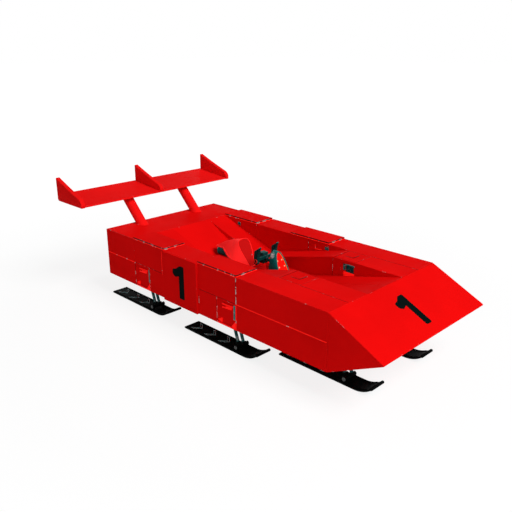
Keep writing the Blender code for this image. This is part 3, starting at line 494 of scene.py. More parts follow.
stem = FIGURE_WIDTH - FIGURE_STEM
FIGURE_ONE = softened([
    (stem, 0), (FIGURE_WIDTH, 0), (FIGURE_WIDTH, FIGURE_HEIGHT), (stem + 0.012, FIGURE_HEIGHT),
    (stem * 0.55, FIGURE_HEIGHT - 0.040), (0, FIGURE_HEIGHT - 0.050), (0, FIGURE_HEIGHT - 0.100),
    (stem * 0.4, FIGURE_HEIGHT - 0.126), (stem, FIGURE_HEIGHT - 0.104),
], 0.014)
film = vinyl_film()
figure_foot = WAIST - FIGURE_HEIGHT / 2
nose_low = Vector((NOSE_JOINT + NOSE_LENGTH, 0, WAIST + NOSE_LOW))
nose_up = Vector((NOSE_JOINT, 0, DECK)) - nose_low
nose_normal = Vector((0, 1, 0)).cross(nose_up).normalized()
nose_foot = nose_low + nose_up.normalized() * (nose_up.length - FIGURE_ON_NOSE - FIGURE_HEIGHT)
figure_places = {
    "right": ((FIGURE_ON_PANEL, -PANEL_FACE - FILM_THICK, figure_foot), (1, 0, 0), (0, 0, 1)),
    "left": ((FIGURE_ON_PANEL + FIGURE_WIDTH, PANEL_FACE + FILM_THICK, figure_foot), (-1, 0, 0), (0, 0, 1)),
    "nose": (nose_foot + nose_normal * FILM_THICK - Vector((0, FIGURE_TO_RIGHT, 0)), (0, 1, 0), nose_up),
}
for place, (origin, right, up) in figure_places.items():
    mesh = placed(slab(FIGURE_ONE, FILM_THICK, 0.0002, 1), on_face(origin, right, up))
    add_piece("numeral_" + place, mesh, film, "hull", "panel_red")

# Plate edge strips: dark strips round each deck plate, between the plate and the pod that it is
# screwed to; their near-black is painted shade, the shadow line along the plate's edge. The paint
# over it has flaked off in places, and a bright bead with a painted-highlight glow runs at its foot.
STRIP_SHADE_DARK = (0.050, 0.010, 0.010, 1)
STRIP_BARE = (0.17, 0.20, 0.19, 1)
STRIP_WIDE = 0.003
STRIP_PROUD = 0.0012
STRIP_ABOVE_FOOT = 0.008
STRIP_BELOW_TOP = 0.0015
FOOT_RISE = 0.0035
FOOT_RADIUS = 0.0026


def box_bm(low, high, bm=None):
    """Plain bar between two corners."""
    (x0, y0, z0), (x1, y1, z1) = low, high
    rows = [[(x, y0, z0), (x, y1, z0), (x, y1, z1), (x, y0, z1)] for x in (x0, x1)]
    return skin(rows, bm)


def ease_edges(bm, ease, segments=2):
    bmesh.ops.recalc_face_normals(bm, faces=bm.faces)
    bmesh.ops.bevel(bm, geom=list(bm.edges), offset=ease, segments=segments, profile=0.5, affect="EDGES")


def eased_box(parts, ease, segments=2):
    """Several bars in one mesh, all with eased edges."""
    bm = bmesh.new()
    for low, high in parts:
        box_bm(low, high, bm)
    ease_edges(bm, ease, segments)
    return to_mesh(bm)


# Near-black strips as painted shade; the foot bead's glow is a painted highlight.
shadow_strip_paint = worn_bead("plate_shadow_strip", STRIP_SHADE_DARK, 0.53, spots=20, bare=STRIP_BARE)
foot_highlight_paint = worn_bead("plate_foot", BEAD_HIGHLIGHT_RED, 0.55, 0.30, spots=20)
for place in ("rear_left", "rear_right", "front_left", "front_right"):
    low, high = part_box("deck_plate_" + place)
    x = (low.x - STRIP_PROUD / 2, high.x + STRIP_PROUD)
    y = (low.y - STRIP_PROUD, high.y + STRIP_PROUD)
    z = (low.z + STRIP_ABOVE_FOOT, high.z - STRIP_BELOW_TOP)
    around = [((x[0], y[0], z[0]), (x[1], y[0] + STRIP_WIDE, z[1])),
              ((x[0], y[1] - STRIP_WIDE, z[0]), (x[1], y[1], z[1])),
              ((x[1] - STRIP_WIDE, y[0], z[0]), (x[1], y[1], z[1])),
              ((x[0], y[0], z[0]), (x[0] + STRIP_WIDE, y[1], z[1]))]
    shadow_strips = eased_box(around, 0.0004, 1)
    add_piece("plate_shadow_strip_" + place, shadow_strips, shadow_strip_paint, "hull", "ski_black")
    add_beads("plate_foot_" + place, level_rim(x, y, DECK + FOOT_RISE), FOOT_RADIUS, foot_highlight_paint)

# Bay fittings: in each suspension bay a bracket of thin bars, two corner gussets and a sill, folded
# from thin sheet, sprayed in bright red and riveted to the wall; their bright red and strong glow
# are a painted highlight.
BAY_LENGTH = 0.25
BRACKET_BAR = 0.009
FITTING_PROUD = 0.0015
FITTING_SUNK = 0.004


def bay_fitting(face, way, start):
    bm = bmesh.new()
    out = (face - way * FITTING_SUNK, face + way * FITTING_PROUD)
    front = start + BAY_LENGTH
    half = BRACKET_BAR / 2
    bars = [((start + 0.072, 0.455), (front - 0.040, 0.460)),
            ((start + 0.072, 0.424), (front - 0.060, 0.432)),
            ((start + 0.120, 0.438), (front - 0.050, 0.445)),
            ((start + 0.010, BELLY + 0.010), (front, BELLY + 0.010))]
    for ends in bars:
        skin([[(x, out[0], z - half), (x, out[1], z - half), (x, out[1], z + half), (x, out[0], z + half)]
              for x, z in ends], bm)
    low = BELLY + 0.012
    gussets = [[(start + 0.012, low + 0.024), (start + 0.068, low + 0.012), (start + 0.068, low + 0.056)],
               [(front - 0.062, low + 0.006), (front - 0.008, low + 0.006), (front - 0.008, low + 0.072)]]
    for gusset in gussets:
        skin([[(x, y, z) for x, z in gusset] for y in out], bm)
    ease_edges(bm, 0.0008)
    return to_mesh(bm)


# Bright red with a strong glow: a painted highlight on the bay fittings.
fitting_highlight_paint = worn_bead("fitting_highlight_paint", (0.95, 0.010, 0.008, 1), 0.66, 0.52)
for side, way in SIDES.items():
    for row, start in (("rear", REAR_JOINT), ("middle", FRONT_JOINT - BAY_LENGTH)):
        mesh = bay_fitting(way * HALF_BODY, way, start)
        add_piece(f"bay_fitting_{row}_{side}", mesh, fitting_highlight_paint, "hull", "hull_red")

# Engine fairing: a composite shell laid up in one smooth sweep behind the driver, open at the tail
# round the exhaust, and sprayed in bright red; a glow that grows towards its front is a painted
# highlight. A rolled bead with a faint painted-highlight glow stiffens its lower edge, and a dished
# panel closes its front, painted a darker red as painted shade.
HOOD_RED = (0.90, 0.016, 0.016, 1)
HOOD_FACE_SHADED_RED = (0.50, 0.006, 0.006, 1)
HOOD_HIGHLIGHT_GLOW = (1, 0.03, 0.03, 1)
HOOD_FOOT = AFT + 1.45
HOOD_SKIN = 0.008
HOOD_RINGS = 44
HOOD_STEPS = 56
HOOD_START = 0.012
BLUNT, POINTED = 0.62, 1.50
# Each arch, from the tail forward: its crest's place, how far ahead of it the foot stands, the half
# widths at the foot and at the crest, the height, and how pointed it is.
HOOD_KEYS = [
    (HOOD_FOOT - 0.525, 0.0, 0.105, 0.095, 0.112, 1.25), (HOOD_FOOT - 0.393, 0.0, 0.120, 0.110, 0.187, 1.55),
    (HOOD_FOOT - 0.254, 0.020, 0.140, 0.135, 0.236, 1.4), (HOOD_FOOT - 0.195, 0.090, 0.085, 0.140, 0.252, 0.9),
    (HOOD_FOOT - 0.145, 0.145, 0.035, 0.125, 0.266, BLUNT),
]
MOUTH_START = (HOOD_FOOT - 0.520, WAIST + 0.110)
MOUTH_RISE = 0.14
MOUTH_FALL = 0.34
MOUTH_TURN = 0.145
MOUTH_RUN = 0.320
MOUTH_END = 0.050
DISH_DEPTH = 0.030
LIP_RADIUS = 0.0055
LIP_STEP = 0.006


def between_keys(keys, share):
    """Values on a smooth run through the keys, at a share of the way along them."""
    place = share * (len(keys) - 1)
    start = min(int(place), len(keys) - 2)
    near = [keys[max(min(start + offset, len(keys) - 1), 0)] for offset in (-1, 0, 1, 2)]
    t = place - start
    return [0.5 * (2 * b + (c - a) * t + (2 * a - 5 * b + 4 * c - d) * t * t + (3 * b - a - 3 * c + d) * t ** 3)
            for a, b, c, d in zip(*near)]


def mouth_height(x, inset):
    """Height of the lower edge: it rises from the tail, falls away and turns down to the tray."""
    start_x, start_z = MOUTH_START
    start_z -= inset * 0.6
    if x <= start_x + MOUTH_RUN:
        rise = MOUTH_RISE * min(x - start_x, MOUTH_TURN)
        return start_z + rise - MOUTH_FALL * max(x - start_x - MOUTH_TURN, 0)
    turn = min((x - start_x - MOUTH_RUN) / MOUTH_END, 1)
    drop = MOUTH_FALL * (MOUTH_RUN - MOUTH_TURN) - MOUTH_RISE * MOUTH_TURN
    return WAIST + (start_z - WAIST - drop) * math.sqrt(1 - turn * turn)


def hood_point(share, turn, inset):
    x_crest, lean, foot, crest, height, peak = between_keys(HOOD_KEYS, share)
    rise = max(math.sin(turn), 0) ** (0.8 + 0.7 * (peak - BLUNT) / (POINTED - BLUNT))
    width = (foot + (crest - foot) * math.sin(turn)) - inset
    side = math.copysign(abs(math.cos(turn)) ** peak, math.cos(turn))
    return x_crest + lean * (1 - rise) - inset * (share == 1), width * side, WAIST + (height - inset) * rise


def hood_ring(share, inset):
    """Arch from the lower edge on one side to the lower edge on the other."""
    first, last = 0.0, math.pi / 2
    for _ in range(26):
        middle = (first + last) / 2
        x, _, z = hood_point(share, middle, inset)
        if z < mouth_height(x, inset):
            first = middle
        else:
            last = middle
    turns = [last + (math.pi - 2 * last) * place / HOOD_STEPS for place in range(HOOD_STEPS + 1)]
    return [hood_point(share, turn, inset) for turn in turns]


def hood_dish(front):
    """Rings of the hollowed front, each nearer to its middle and deeper."""
    middle = sum((Vector(point) for point in front), Vector()) / len(front)
    rings = []
    for size in (0.93, 0.80, 0.60, 0.35, 0.12):
        depth = Vector((DISH_DEPTH * (1 - size ** 2), 0, 0))
        rings.append([middle.lerp(Vector(point), size) - depth for point in front])
    return rings


def hood_shell(outer, inner, dish):
    """Both skins of the shell, joined along the lower edges, with the hollowed front."""
    front = outer[-1:] + dish
    bm = skin(outer + dish, loop=False, close=False)
    skin([row[::-1] for row in inner], bm, loop=False, close=False)
    for end in (0, -1):
        for outer_row, outer_next, inner_row, inner_next in zip(outer, outer[1:], inner, inner[1:]):
            corners = (outer_row[end], outer_next[end], inner_next[end], inner_row[end])
            bm.faces.new([bm.verts.new(corner) for corner in corners])
    for rim in (dish[-1], inner[-1]):
        bm.faces.new([bm.verts.new(point) for point in rim])
    skin([[row[end] for row in front] for end in (0, -1)], bm, loop=False, close=False)
    bmesh.ops.remove_doubles(bm, verts=bm.verts, dist=1e-5)
    return to_mesh(bm, 30)


shares = [HOOD_START + (1 - HOOD_START) * ring / HOOD_RINGS for ring in range(HOOD_RINGS + 1)]
outer_rows = [hood_ring(share, 0) for share in shares]
inner_rows = [hood_ring(share * 0.965, HOOD_SKIN) for share in shares]
dish_rows = hood_dish(outer_rows[-1])
hood_paint = sprayed_paint("hood_paint", HOOD_RED, EDGE_HIGHLIGHT_RED, 0.26, 0.006)
tree = hood_paint.node_tree
along = step(tree, "SeparateXYZ", step(tree, "TexCoord").outputs["Object"]).outputs[0]
# An emission that grows towards the front: a painted highlight on the hood.
painted_highlight = maths("MULTIPLY", between(along, HOOD_FOOT - 0.45, HOOD_FOOT - 0.05, 0.10, 0.38),
              between(grain(tree, 5, 2), 0.3, 0.7, 0.85, 1.1))
feed(tree.nodes["Principled BSDF"], Emission_Color=HOOD_HIGHLIGHT_GLOW, Emission_Strength=painted_highlight)
hood_mesh = hood_shell(outer_rows, inner_rows, dish_rows)
add_piece("engine_hood", hood_mesh, hood_paint, "hull", "hull_red", "engine_fairing")
face_rows = [[point + Vector((lift, 0, 0)) for point in row]
             for row, lift in zip(dish_rows[:1] + dish_rows, (-0.002, 0.0012, 0.0016, 0.0016, 0.0016, 0.0016))]
# The front panel's darker red is painted shade.
shaded_face_paint = sprayed_paint("hood_face_shade_paint", HOOD_FACE_SHADED_RED, EDGE_HIGHLIGHT_RED, 0.45)
add_piece("hood_face", to_mesh(skin(face_rows), 40), shaded_face_paint, "hull", "panel_red")
lip = [Vector(outer_rows[-1][0])]
for point in [row[0] for row in outer_rows[-2::-1]] + [row[-1] for row in outer_rows]:
    if (Vector(point) - lip[-1]).length > LIP_STEP:
        lip.append(Vector(point))
# The lip's faint glow is a painted highlight.
lip_highlight_paint = worn_bead("lip_highlight_paint", (0.90, 0.03, 0.03, 1), 0.66, 0.05)
add_beads("hood_lip", list(zip(lip, lip[1:])), LIP_RADIUS, lip_highlight_paint)

# Exhaust: a short turned pipe of blued metal on a saddle, with a rolled lip round its bore.
PIPE_BACK = AFT + 0.975
PIPE_FRONT = AFT + 1.235
PIPE_AXIS = WAIST + 0.0775
PIPE_RADIUS = 0.056
PIPE_BORE = 0.048
# The pipe's teal is lighter than the castings' as painted light against the shadow under the hood.
BLUED_LIGHTENED = (0.0016, 0.170, 0.165, 1)
BLUED_BARE_LIGHTENED = (0.12, 0.32, 0.31, 1)


def worn_metal(name, colour, bare, roughness, metallic, wear=0.62, radius=0.002):
    """Stained metal with fine brush marks, lighter in worn patches and on its edges, where the lighter colour is
    partly wear and partly a painted highlight.
    """
    material, tree, shader = new_material(name)
    brush = grain(tree, 70, 3, (1, 0.08, 1))
    body = mixed(between(brush, 0.3, 0.7), tinted(colour, 0.75), tinted(colour, 1.3))
    patches = between(grain(tree, 26, 5), wear, wear + 0.12, 0, 0.55)
    # Lighter edges: partly wear, partly a painted highlight.
    edge = maths("MULTIPLY", edge_share(tree, radius), between(grain(tree, 34), 0.3, 0.6, 0.35, 0.95))
    worn = maths("MAXIMUM", patches, edge)
    rough = between(grain(tree, 18, 4), 0.3, 0.7, roughness - 0.06, roughness + 0.10)
    feed(shader, Base_Color=mixed(worn, body, bare), Roughness=rough, Metallic=metallic,
         Specular_IOR_Level=0.08, Normal=relief(brush, 0.00015, radius * 0.7))
    return material


def turned_mesh(profile, axis_at, along, sides=64):
    """Round solid from (distance along, radius) points; where the radius is 0 the end is closed."""
    along = Vector(along).normalized()
    across = along.orthogonal().normalized()
    other = along.cross(across)
    bm = bmesh.new()
    rows = []
    for reach, radius in profile:
        centre = Vector(axis_at) + along * reach
        turns = full_turn(sides) if radius else [0]
        rows.append([bm.verts.new(centre + (across * math.cos(t) + other * math.sin(t)) * radius) for t in turns])
    for row, after in zip(rows, rows[1:]):
        for side in range(sides):
            beside = (side + 1) % sides
            corners = [row[side % len(row)], row[beside % len(row)],
                       after[beside % len(after)], after[side % len(after)]]
            unique = list(dict.fromkeys(corners))
            if len(unique) > 2:
                bm.faces.new(unique)
    return to_mesh(bm, 40)


length = PIPE_FRONT - PIPE_BACK
pipe_profile = [
    (0.030, 0), (0.030, PIPE_BORE - 0.004), (0.034, PIPE_BORE), (length - 0.006, PIPE_BORE),
    (length - 0.002, PIPE_BORE + 0.001), (length, PIPE_BORE + 0.004), (length - 0.002, PIPE_RADIUS - 0.001),
    (length - 0.006, PIPE_RADIUS), (length - 0.014, PIPE_RADIUS), (length - 0.016, PIPE_RADIUS - 0.002),
    (0.010, PIPE_RADIUS - 0.002), (0.004, PIPE_RADIUS - 0.004), (0, PIPE_RADIUS - 0.010), (0, 0),
]
pipe = bmesh.new()
pipe.from_mesh(turned_mesh(pipe_profile, (PIPE_FRONT, 0, PIPE_AXIS), (-1, 0, 0)))
saddle_top = PIPE_AXIS - (PIPE_BORE + PIPE_RADIUS) / 2
box_bm((PIPE_FRONT - 0.130, -PIPE_RADIUS / 2, WAIST + 0.0005), (PIPE_FRONT - 0.050, PIPE_RADIUS / 2, saddle_top), pipe)
lit_pipe_metal = worn_metal("lit_pipe_metal", BLUED_LIGHTENED, BLUED_BARE_LIGHTENED, 0.42, 0.12)
add_piece("exhaust_pipe", to_mesh(pipe, 40), lit_pipe_metal, "hull", "teal_metal", "exhaust_nozzle")

# Screen hoop: a cast arch, open to the front, with a thin red cover riveted and sealed inside its
# mouth; the seal's glow and the cover's orange edges are painted highlights. It carries the steering
# column in its rear wall, and a pale patch on its crown beside the grips is a painted highlight.
COWL_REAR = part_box("screen_hoop")[0].x
COWL_LENGTH = 0.060
COWL_LEAN = 0.107
COWL_HALF = 0.075
COWL_HEIGHT = 0.25
COWL_SKIN = 0.011
COWL_FOOT = WAIST + 0.0003
ARCH_STEPS = 48
HIGHLIGHT_SPOT_AT = (COWL_REAR + 0.018, -0.050, WAIST + 0.215)
COVER_BACK = 0.853
COVER_FRONT = 0.927
RIVETS_AT = [(-0.036, 0.667), (0.022, 0.667), (0.036, 0.608), (-0.036, 0.608)]
RIVET_PROFILE = [(0, 0.0066), (0.0014, 0.0062), (0.0028, 0.0044), (0.0034, 0)]


def cowl_ring(along, inset):
    """Arch at a share of the way from the hoop's upright back to its leaning mouth."""
    ring = []
    for place in range(ARCH_STEPS + 1):
        rise = math.sin(math.pi * place / ARCH_STEPS)
        side = math.cos(math.pi * place / ARCH_STEPS)
        x = COWL_REAR + COWL_LENGTH * along + COWL_LEAN * along * (1 - rise)
        ring.append((x, (COWL_HALF - inset) * side, COWL_FOOT + (COWL_HEIGHT - inset) * rise))
    return ring


def cowl_skin(*sections):
    return skin([cowl_ring(along, inset) for along, inset in sections], loop=False)


hoop = cowl_skin((0, 0.004), (0.006, 0.0015), (0.03, 0), (0.5, 0), (0.97, 0), (0.994, 0.0015), (1, 0.004),
                 (0.994, COWL_SKIN - 0.001), (0.95, COWL_SKIN), (0.15, COWL_SKIN))
cowl_metal = worn_metal("cowl_metal", (0.0010, 0.110, 0.105, 1), (0.24, 0.34, 0.33, 1), 0.34, 0.10, 0.64)
tree = cowl_metal.node_tree
shader = tree.nodes["Principled BSDF"]
# A pale patch on the crown beside the grips: a painted highlight.
highlight_distance = step(tree, "VectorMath", step(tree, "TexCoord").outputs["Object"], HIGHLIGHT_SPOT_AT,
            settings={"operation": "DISTANCE"}).outputs["Value"]
rubbed = maths("MULTIPLY", between(highlight_distance, 0.042, 0.018), between(grain(tree, 45, 4), 0.40, 0.55, 0.2, 1))
body = shader.inputs["Base Color"].links[0].from_socket
feed(shader, Base_Color=mixed(rubbed, body, (0.62, 0.66, 0.65, 1)))
add_piece("screen_arch", to_mesh(hoop, 40), cowl_metal, "hull", "teal_metal", "screen_hoop")
cover = cowl_skin((COVER_BACK, COWL_SKIN + 0.0006), (0.915, COWL_SKIN + 0.0006), (COVER_FRONT, COWL_SKIN + 0.0016))
# The cover's orange edges are a painted highlight.
cover_paint = sprayed_paint("cover_paint", (0.90, 0.006, 0.004, 1), (1, 0.14, 0.04, 1), 0.34)
add_piece("screen_cover", to_mesh(cover), cover_paint, "hull", "panel_red", "screen_panel")
seal = cowl_ring(0.935, COWL_SKIN + 0.001)[2:-2]
# The seal's glow is a painted highlight.
seal_highlight_paint = worn_bead("seal_highlight_paint", (0.80, 0.26, 0.05, 1), 0.62, 0.15)
add_beads("cover_seal", list(zip(seal[::2], seal[2::2])), 0.0020, seal_highlight_paint)
tan_rivet = worn_metal("tan_rivet", (0.52, 0.58, 0.34, 1), (0.74, 0.78, 0.60, 1), 0.34, 0.0, 0.60, 0.0008)
cover_height = COWL_HEIGHT - COWL_SKIN
cover_slope = Vector((COWL_LEAN * COVER_FRONT / cover_height, 0, 1)).normalized()
for number, (y, z) in enumerate(RIVETS_AT):
    rise = (z - COWL_FOOT) / cover_height
    x = COWL_REAR + COWL_LENGTH * COVER_FRONT + COWL_LEAN * COVER_FRONT * (1 - rise)
    mesh = turned_mesh(RIVET_PROFILE, (x, y, z), (cover_slope.z, 0, cover_slope.x), 20)
    add_piece(f"cover_rivet_{number}", mesh, tan_rivet, "hull", "grip_black")

# Yoke: a boxed hub on the column with a cross bar, and two upright horn grips of moulded rubber.
# Each grip has a red collar with a black plug on its outer side.
HUB = Vector((AFT + 1.60, 0, 0.655))
GRIP_IN = 0.102
GRIP_OUT = 0.138
COLUMN_DROP = math.tan(math.radians(20))
COLUMN_REACH = 0.160
COLUMN_RADIUS = 0.0125
COLUMN_LENGTH = 0.1702
COLLAR_PROFILE = [(0, 0.0135), (0.003, 0.0135), (0.0045, 0.0150), (0.0045, 0.0195), (0.003, 0.0210), (0, 0.0210)]
PLUG_PROFILE = [(0, 0.0134), (0.0022, 0.0134), (0.0032, 0.0115), (0.0036, 0)]
HORN = softened([
    (0.003, 0.084), (-0.004, 0.012), (-0.004, -0.036), (0.006, -0.052), (0.036, -0.052), (0.050, -0.036),
    (0.046, 0.012), (0.058, 0.080), (0.074, 0.131),
], 0.010)


def side_slab(outline, y0, y1, round_over, segments):
    """Solid of a side view (x, z) between two y values."""
    turn = Matrix.Translation((0, (y0 + y1) / 2, 0)) @ Matrix.Rotation(math.pi / 2, 4, "X")
    return placed(slab(outline, abs(y1 - y0), round_over, segments), turn)


def bar_about(centre, half, ease):
    centre, half = Vector(centre), Vector(half)
    return eased_box([(centre - half, centre + half)], ease, 3)


hub_metal = worn_metal("hub_metal", (0.0010, 0.040, 0.037, 1), (0.16, 0.22, 0.22, 1), 0.36, 0.10, 0.60)
hub = bmesh.new()
hub.from_mesh(bar_about(HUB + Vector((-0.004, 0, -0.010)), (0.034, 0.034, 0.056), 0.008))
hub.from_mesh(bar_about(HUB + Vector((0.026, 0, -0.002)), (0.014, 0.1015, 0.016), 0.003))
column = [(0, 0), (0, COLUMN_RADIUS), (COLUMN_LENGTH, COLUMN_RADIUS), (COLUMN_LENGTH, 0)]
hub.from_mesh(turned_mesh(column, HUB, (COLUMN_REACH, 0, -COLUMN_REACH * COLUMN_DROP), 32))
add_piece("yoke_boss", to_mesh(hub), hub_metal, "yoke", "teal_metal", "yoke_hub")
grip_rubber = worn_metal("grip_rubber", (0.0008, 0.030, 0.029, 1), (0.04, 0.12, 0.12, 1), 0.58, 0.0, 0.64)
# The collar's orange-red edges are a painted highlight.
collar_paint = sprayed_paint("collar_paint", (0.85, 0.02, 0.01, 1), (1, 0.10, 0.05, 1), 0.34)
plug_rubber = worn_metal("plug_rubber", (0.0015, 0.0035, 0.0035, 1), (0.02, 0.03, 0.03, 1), 0.5, 0.0, 0.66)
for side, way in SIDES.items():
    horn = side_slab(HORN, way * GRIP_IN, way * GRIP_OUT, 0.007, 4)
    horn = placed(horn, Matrix.Translation(HUB))
    add_piece("yoke_horn_" + side, horn, grip_rubber, "yoke", "grip_black", "yoke_grip_" + side)
    outer = HUB + Vector((0.026, way * (GRIP_OUT - 0.001), -0.014))
    collar = turned_mesh(COLLAR_PROFILE, outer, (0, way, 0), 40)
    add_piece("grip_collar_" + side, collar, collar_paint, "yoke", "panel_red")
    plug_mesh = turned_mesh(PLUG_PROFILE, outer, (0, way, 0), 40)
    add_piece("grip_plug_" + side, plug_mesh, plug_rubber, "yoke", "grip_black")

# Rear wing: one thin cambered plane and three fins of shaped composite, on two stout round posts
# that are bolted to the rear deck through flanges.
WING_FRONT = AFT
WING_CHORD = 0.485
WING_LOW = DECK + 0.285
WING_HALF = 0.9687
WING_THICK = 0.0165
WING_RISE = 0.050
WING_CAMBER = 0.016
FIN_THICK = 0.046
FIN_HALF_SPAN = 1.015
FIN_LOW = WING_LOW - 0.020
FIN_EDGE = WING_LOW + 0.014
FIN_BROW = 0.043
FIN_BROW_SHARE = 0.12
FIN_CLIMB = 0.172
FIN_HEEL = 0.026
POST_FOOT = AFT + 0.12
POST_Y = 0.375
POST_RADIUS = 0.0545
POST_SIDES = 56
POST_LEVELS = 12
FLANGE_EDGE = 0.0038


def wing_top(share):
    """Height of the plane's top, hollow between its edges and rising to the tail."""
    return WING_LOW + WING_RISE * share - WING_CAMBER * share * (1 - share)


def fin_crest(steps=40):
    """Top edge of a fin, round at the front and then rising steadily to the tail."""
    crest = []
    for place in range(steps + 1):
        share = (place / steps) ** 2
        brow = math.sqrt(1 - (1 - min(share / FIN_BROW_SHARE, 1)) ** 2)
        climb = FIN_BROW * brow + FIN_CLIMB * (0.87 * share + 0.13 * share ** 2)
        crest.append((WING_FRONT - WING_CHORD * share, FIN_EDGE + climb))
    return crest


def arc(middle, radius, first, last, steps):
    """Round stretch of a side view, between two angles."""
    turns = [first + (last - first) * place / steps for place in range(steps + 1)]
    return [(middle[0] + radius * math.cos(turn), middle[1] + radius * math.sin(turn)) for turn in turns]


wing_paint = sprayed_paint("wing_paint", (0.80, 0.007, 0.007, 1), EDGE_HIGHLIGHT_RED, 0.30, 0.001)
upper = [(WING_FRONT - WING_CHORD * place / 32, wing_top(place / 32)) for place in range(33)]
lower = [(x, z - WING_THICK) for x, z in reversed(upper)]
plane_mesh = side_slab(upper + lower, -WING_HALF, WING_HALF, 0.0045, 3)
add_piece("wing_skin", plane_mesh, wing_paint, "hull", "hull_red", "wing_plane")
heel_at = (WING_FRONT - WING_CHORD + FIN_HEEL, FIN_LOW + FIN_HEEL)
end_fin = [(WING_FRONT, FIN_LOW)] + fin_crest() + arc(heel_at, FIN_HEEL, -math.pi, -math.pi / 2, 8)
for side, way in SIDES.items():
    mesh = side_slab(end_fin, way * (FIN_HALF_SPAN - FIN_THICK), way * FIN_HALF_SPAN, 0.005, 4)
    add_piece("end_fin_" + side, mesh, wing_paint, "hull", "hull_red", "wing_fin_" + side)
middle_fin = fin_crest() + [(x, z + 0.0004) for x, z in reversed(upper)]
mesh = side_slab(middle_fin, -FIN_THICK / 2, FIN_THICK / 2, 0.005, 4)
add_piece("middle_fin", mesh, wing_paint, "hull", "hull_red", "wing_fin_centre")


def wing_post(y):
    """Post leaning back at 45 degrees, scribed to the deck's top and to the wing's underside."""
    bm = bmesh.new()
    low = DECK + 0.0065
    rows = []
    for level in range(POST_LEVELS + 1):
        row = []
        for turn in full_turn(POST_SIDES):
            x = POST_FOOT + POST_RADIUS * math.sqrt(2) * math.cos(turn)
            rise = 0.0
            for _ in range(12):
                share = min(max((WING_FRONT - (x - rise)) / WING_CHORD, 0), 1)
                rise = wing_top(share) - WING_THICK - 0.0004 - DECK
            z = low + (DECK + rise - low) * level / POST_LEVELS
            row.append((x - (z - DECK), y + POST_RADIUS * math.sin(turn), z))
        rows.append(row)
    skin(rows, bm)
    ratio = (POST_RADIUS * math.sqrt(2) + FLANGE_EDGE) / (POST_RADIUS + FLANGE_EDGE)
    flange = []
    for lift, grow in ((0.0003, 0), (0.0050, 0), (0.0064, -0.0008), (0.0070, -0.0024)):
        wide = POST_RADIUS + FLANGE_EDGE + grow
        flange.append([(POST_FOOT + wide * ratio * math.cos(turn), y + wide * math.sin(turn), DECK + lift)
                       for turn in full_turn(POST_SIDES)])
    return to_mesh(skin(flange, bm))


for side, way in SIDES.items():
    add_piece("wing_post_" + side, wing_post(way * POST_Y), wing_paint, "hull", "hull_red", "wing_strut_" + side)

# Skis: pressed from one thick black sheet with a curled and rolled tip, with edge rails and two
# ears welded on for the pin. Three grey grip strips are stuck on behind each foot; their grey is
# lightened and tinted cyan as painted light, against the hull's shadow and its red bounce light.
SKI_BLACK = (0.0010, 0.0018, 0.0018, 1)
# Lightened, cyan-tinted grey: painted light against the hull's shadow and red bounce.
MARK_GREY_LIT = (0.36, 0.62, 0.62, 1)
SKI_LENGTH = 0.98
SKI_HALF = 0.090
SKI_THICK = 0.016
SKI_BEHIND = 0.705
TIP_RADIUS = 0.26
TIP_TURN = math.radians(40)
TIP_ROLL = 0.0095
SKI_FLAT = SKI_LENGTH - TIP_RADIUS * math.sin(TIP_TURN)
SOLE = SKI_FLAT + TIP_RADIUS * TIP_TURN
PIN_HEIGHT = 0.042
RAIL_EDGES = (0.010, 0.020)
RAIL_HEIGHT = 0.006
EAR_RADIUS = 0.017
EAR_FOOT = 0.0238
EAR_SIDES = (0.060, 0.072)
MARK_TIPS = (0.160, 0.358, 0.552)
MARK_THICK = 0.0020
MARK_OUTLINE = (0, 0.070, 0.106, 0.036, 0.060)
MARK_HOLLOW = (0.013, 0.068, 0.086, 0.032, 0.050)
ROWS = {"rear": (AFT + 0.68, 0.625), "middle": (AFT + 1.935, 0.625), "front": (AFT + 2.95, 0.375)}
LEGS = {f"{row}_{side}": Matrix.Translation((x, way * y, PIN_HEIGHT))
        for row, (x, y) in ROWS.items() for side, way in SIDES.items()}


def ski_point(along, lift):
    """Point of the runner's side view, a distance along its sole and a height above it."""
    turn = max(along - SKI_FLAT, 0) / TIP_RADIUS
    radius = TIP_RADIUS - lift
    x = min(along, SKI_FLAT) + radius * math.sin(turn)
    return x - SKI_BEHIND, TIP_RADIUS - radius * math.cos(turn) - PIN_HEIGHT


def ski_strip(y0, y1, low, high, end, ease, start=0.0):
    """Bar that follows the runner's curl, with eased long edges."""
    stations = [start, (start + SKI_FLAT) / 2, SKI_FLAT * 0.98]
    stations += [SKI_FLAT + (end - SKI_FLAT) * place / 18 for place in range(19)]
    section = [(y0 + ease, low), (y1 - ease, low), (y1, low + ease), (y1, high - ease), (y1 - ease, high),
               (y0 + ease, high), (y0, high - ease), (y0, low + ease)]
    rows = []
    for along in stations:
        places = [(y, ski_point(along, lift)) for y, lift in section]
        rows.append([(x, y, z) for y, (x, z) in places])
    return rows


def build_runner():
    bm = skin(ski_strip(-SKI_HALF, SKI_HALF, 0, SKI_THICK, SOLE, 0.002))
    for way in (-1, 1):
        edges = sorted(way * (SKI_HALF - edge) for edge in RAIL_EDGES)
        skin(ski_strip(*edges, SKI_THICK - 0.001, SKI_THICK + RAIL_HEIGHT, SOLE * 0.95, 0.0015, 0.010), bm)
    ear_low = SKI_THICK - PIN_HEIGHT - 0.001
    ear = arc((0, 0), EAR_RADIUS, 0, math.pi, 16) + [(-EAR_FOOT, ear_low), (EAR_FOOT, ear_low)]
    for way in (-1, 1):
        bm.from_mesh(side_slab(ear, way * EAR_SIDES[0], way * EAR_SIDES[1], 0.0012, 2))
    tip_x, tip_z = ski_point(SOLE, SKI_THICK / 2)
    skin(bead_rows((tip_x, -SKI_HALF, tip_z), (tip_x, SKI_HALF, tip_z), TIP_ROLL, 16), bm)
    return to_mesh(bm)


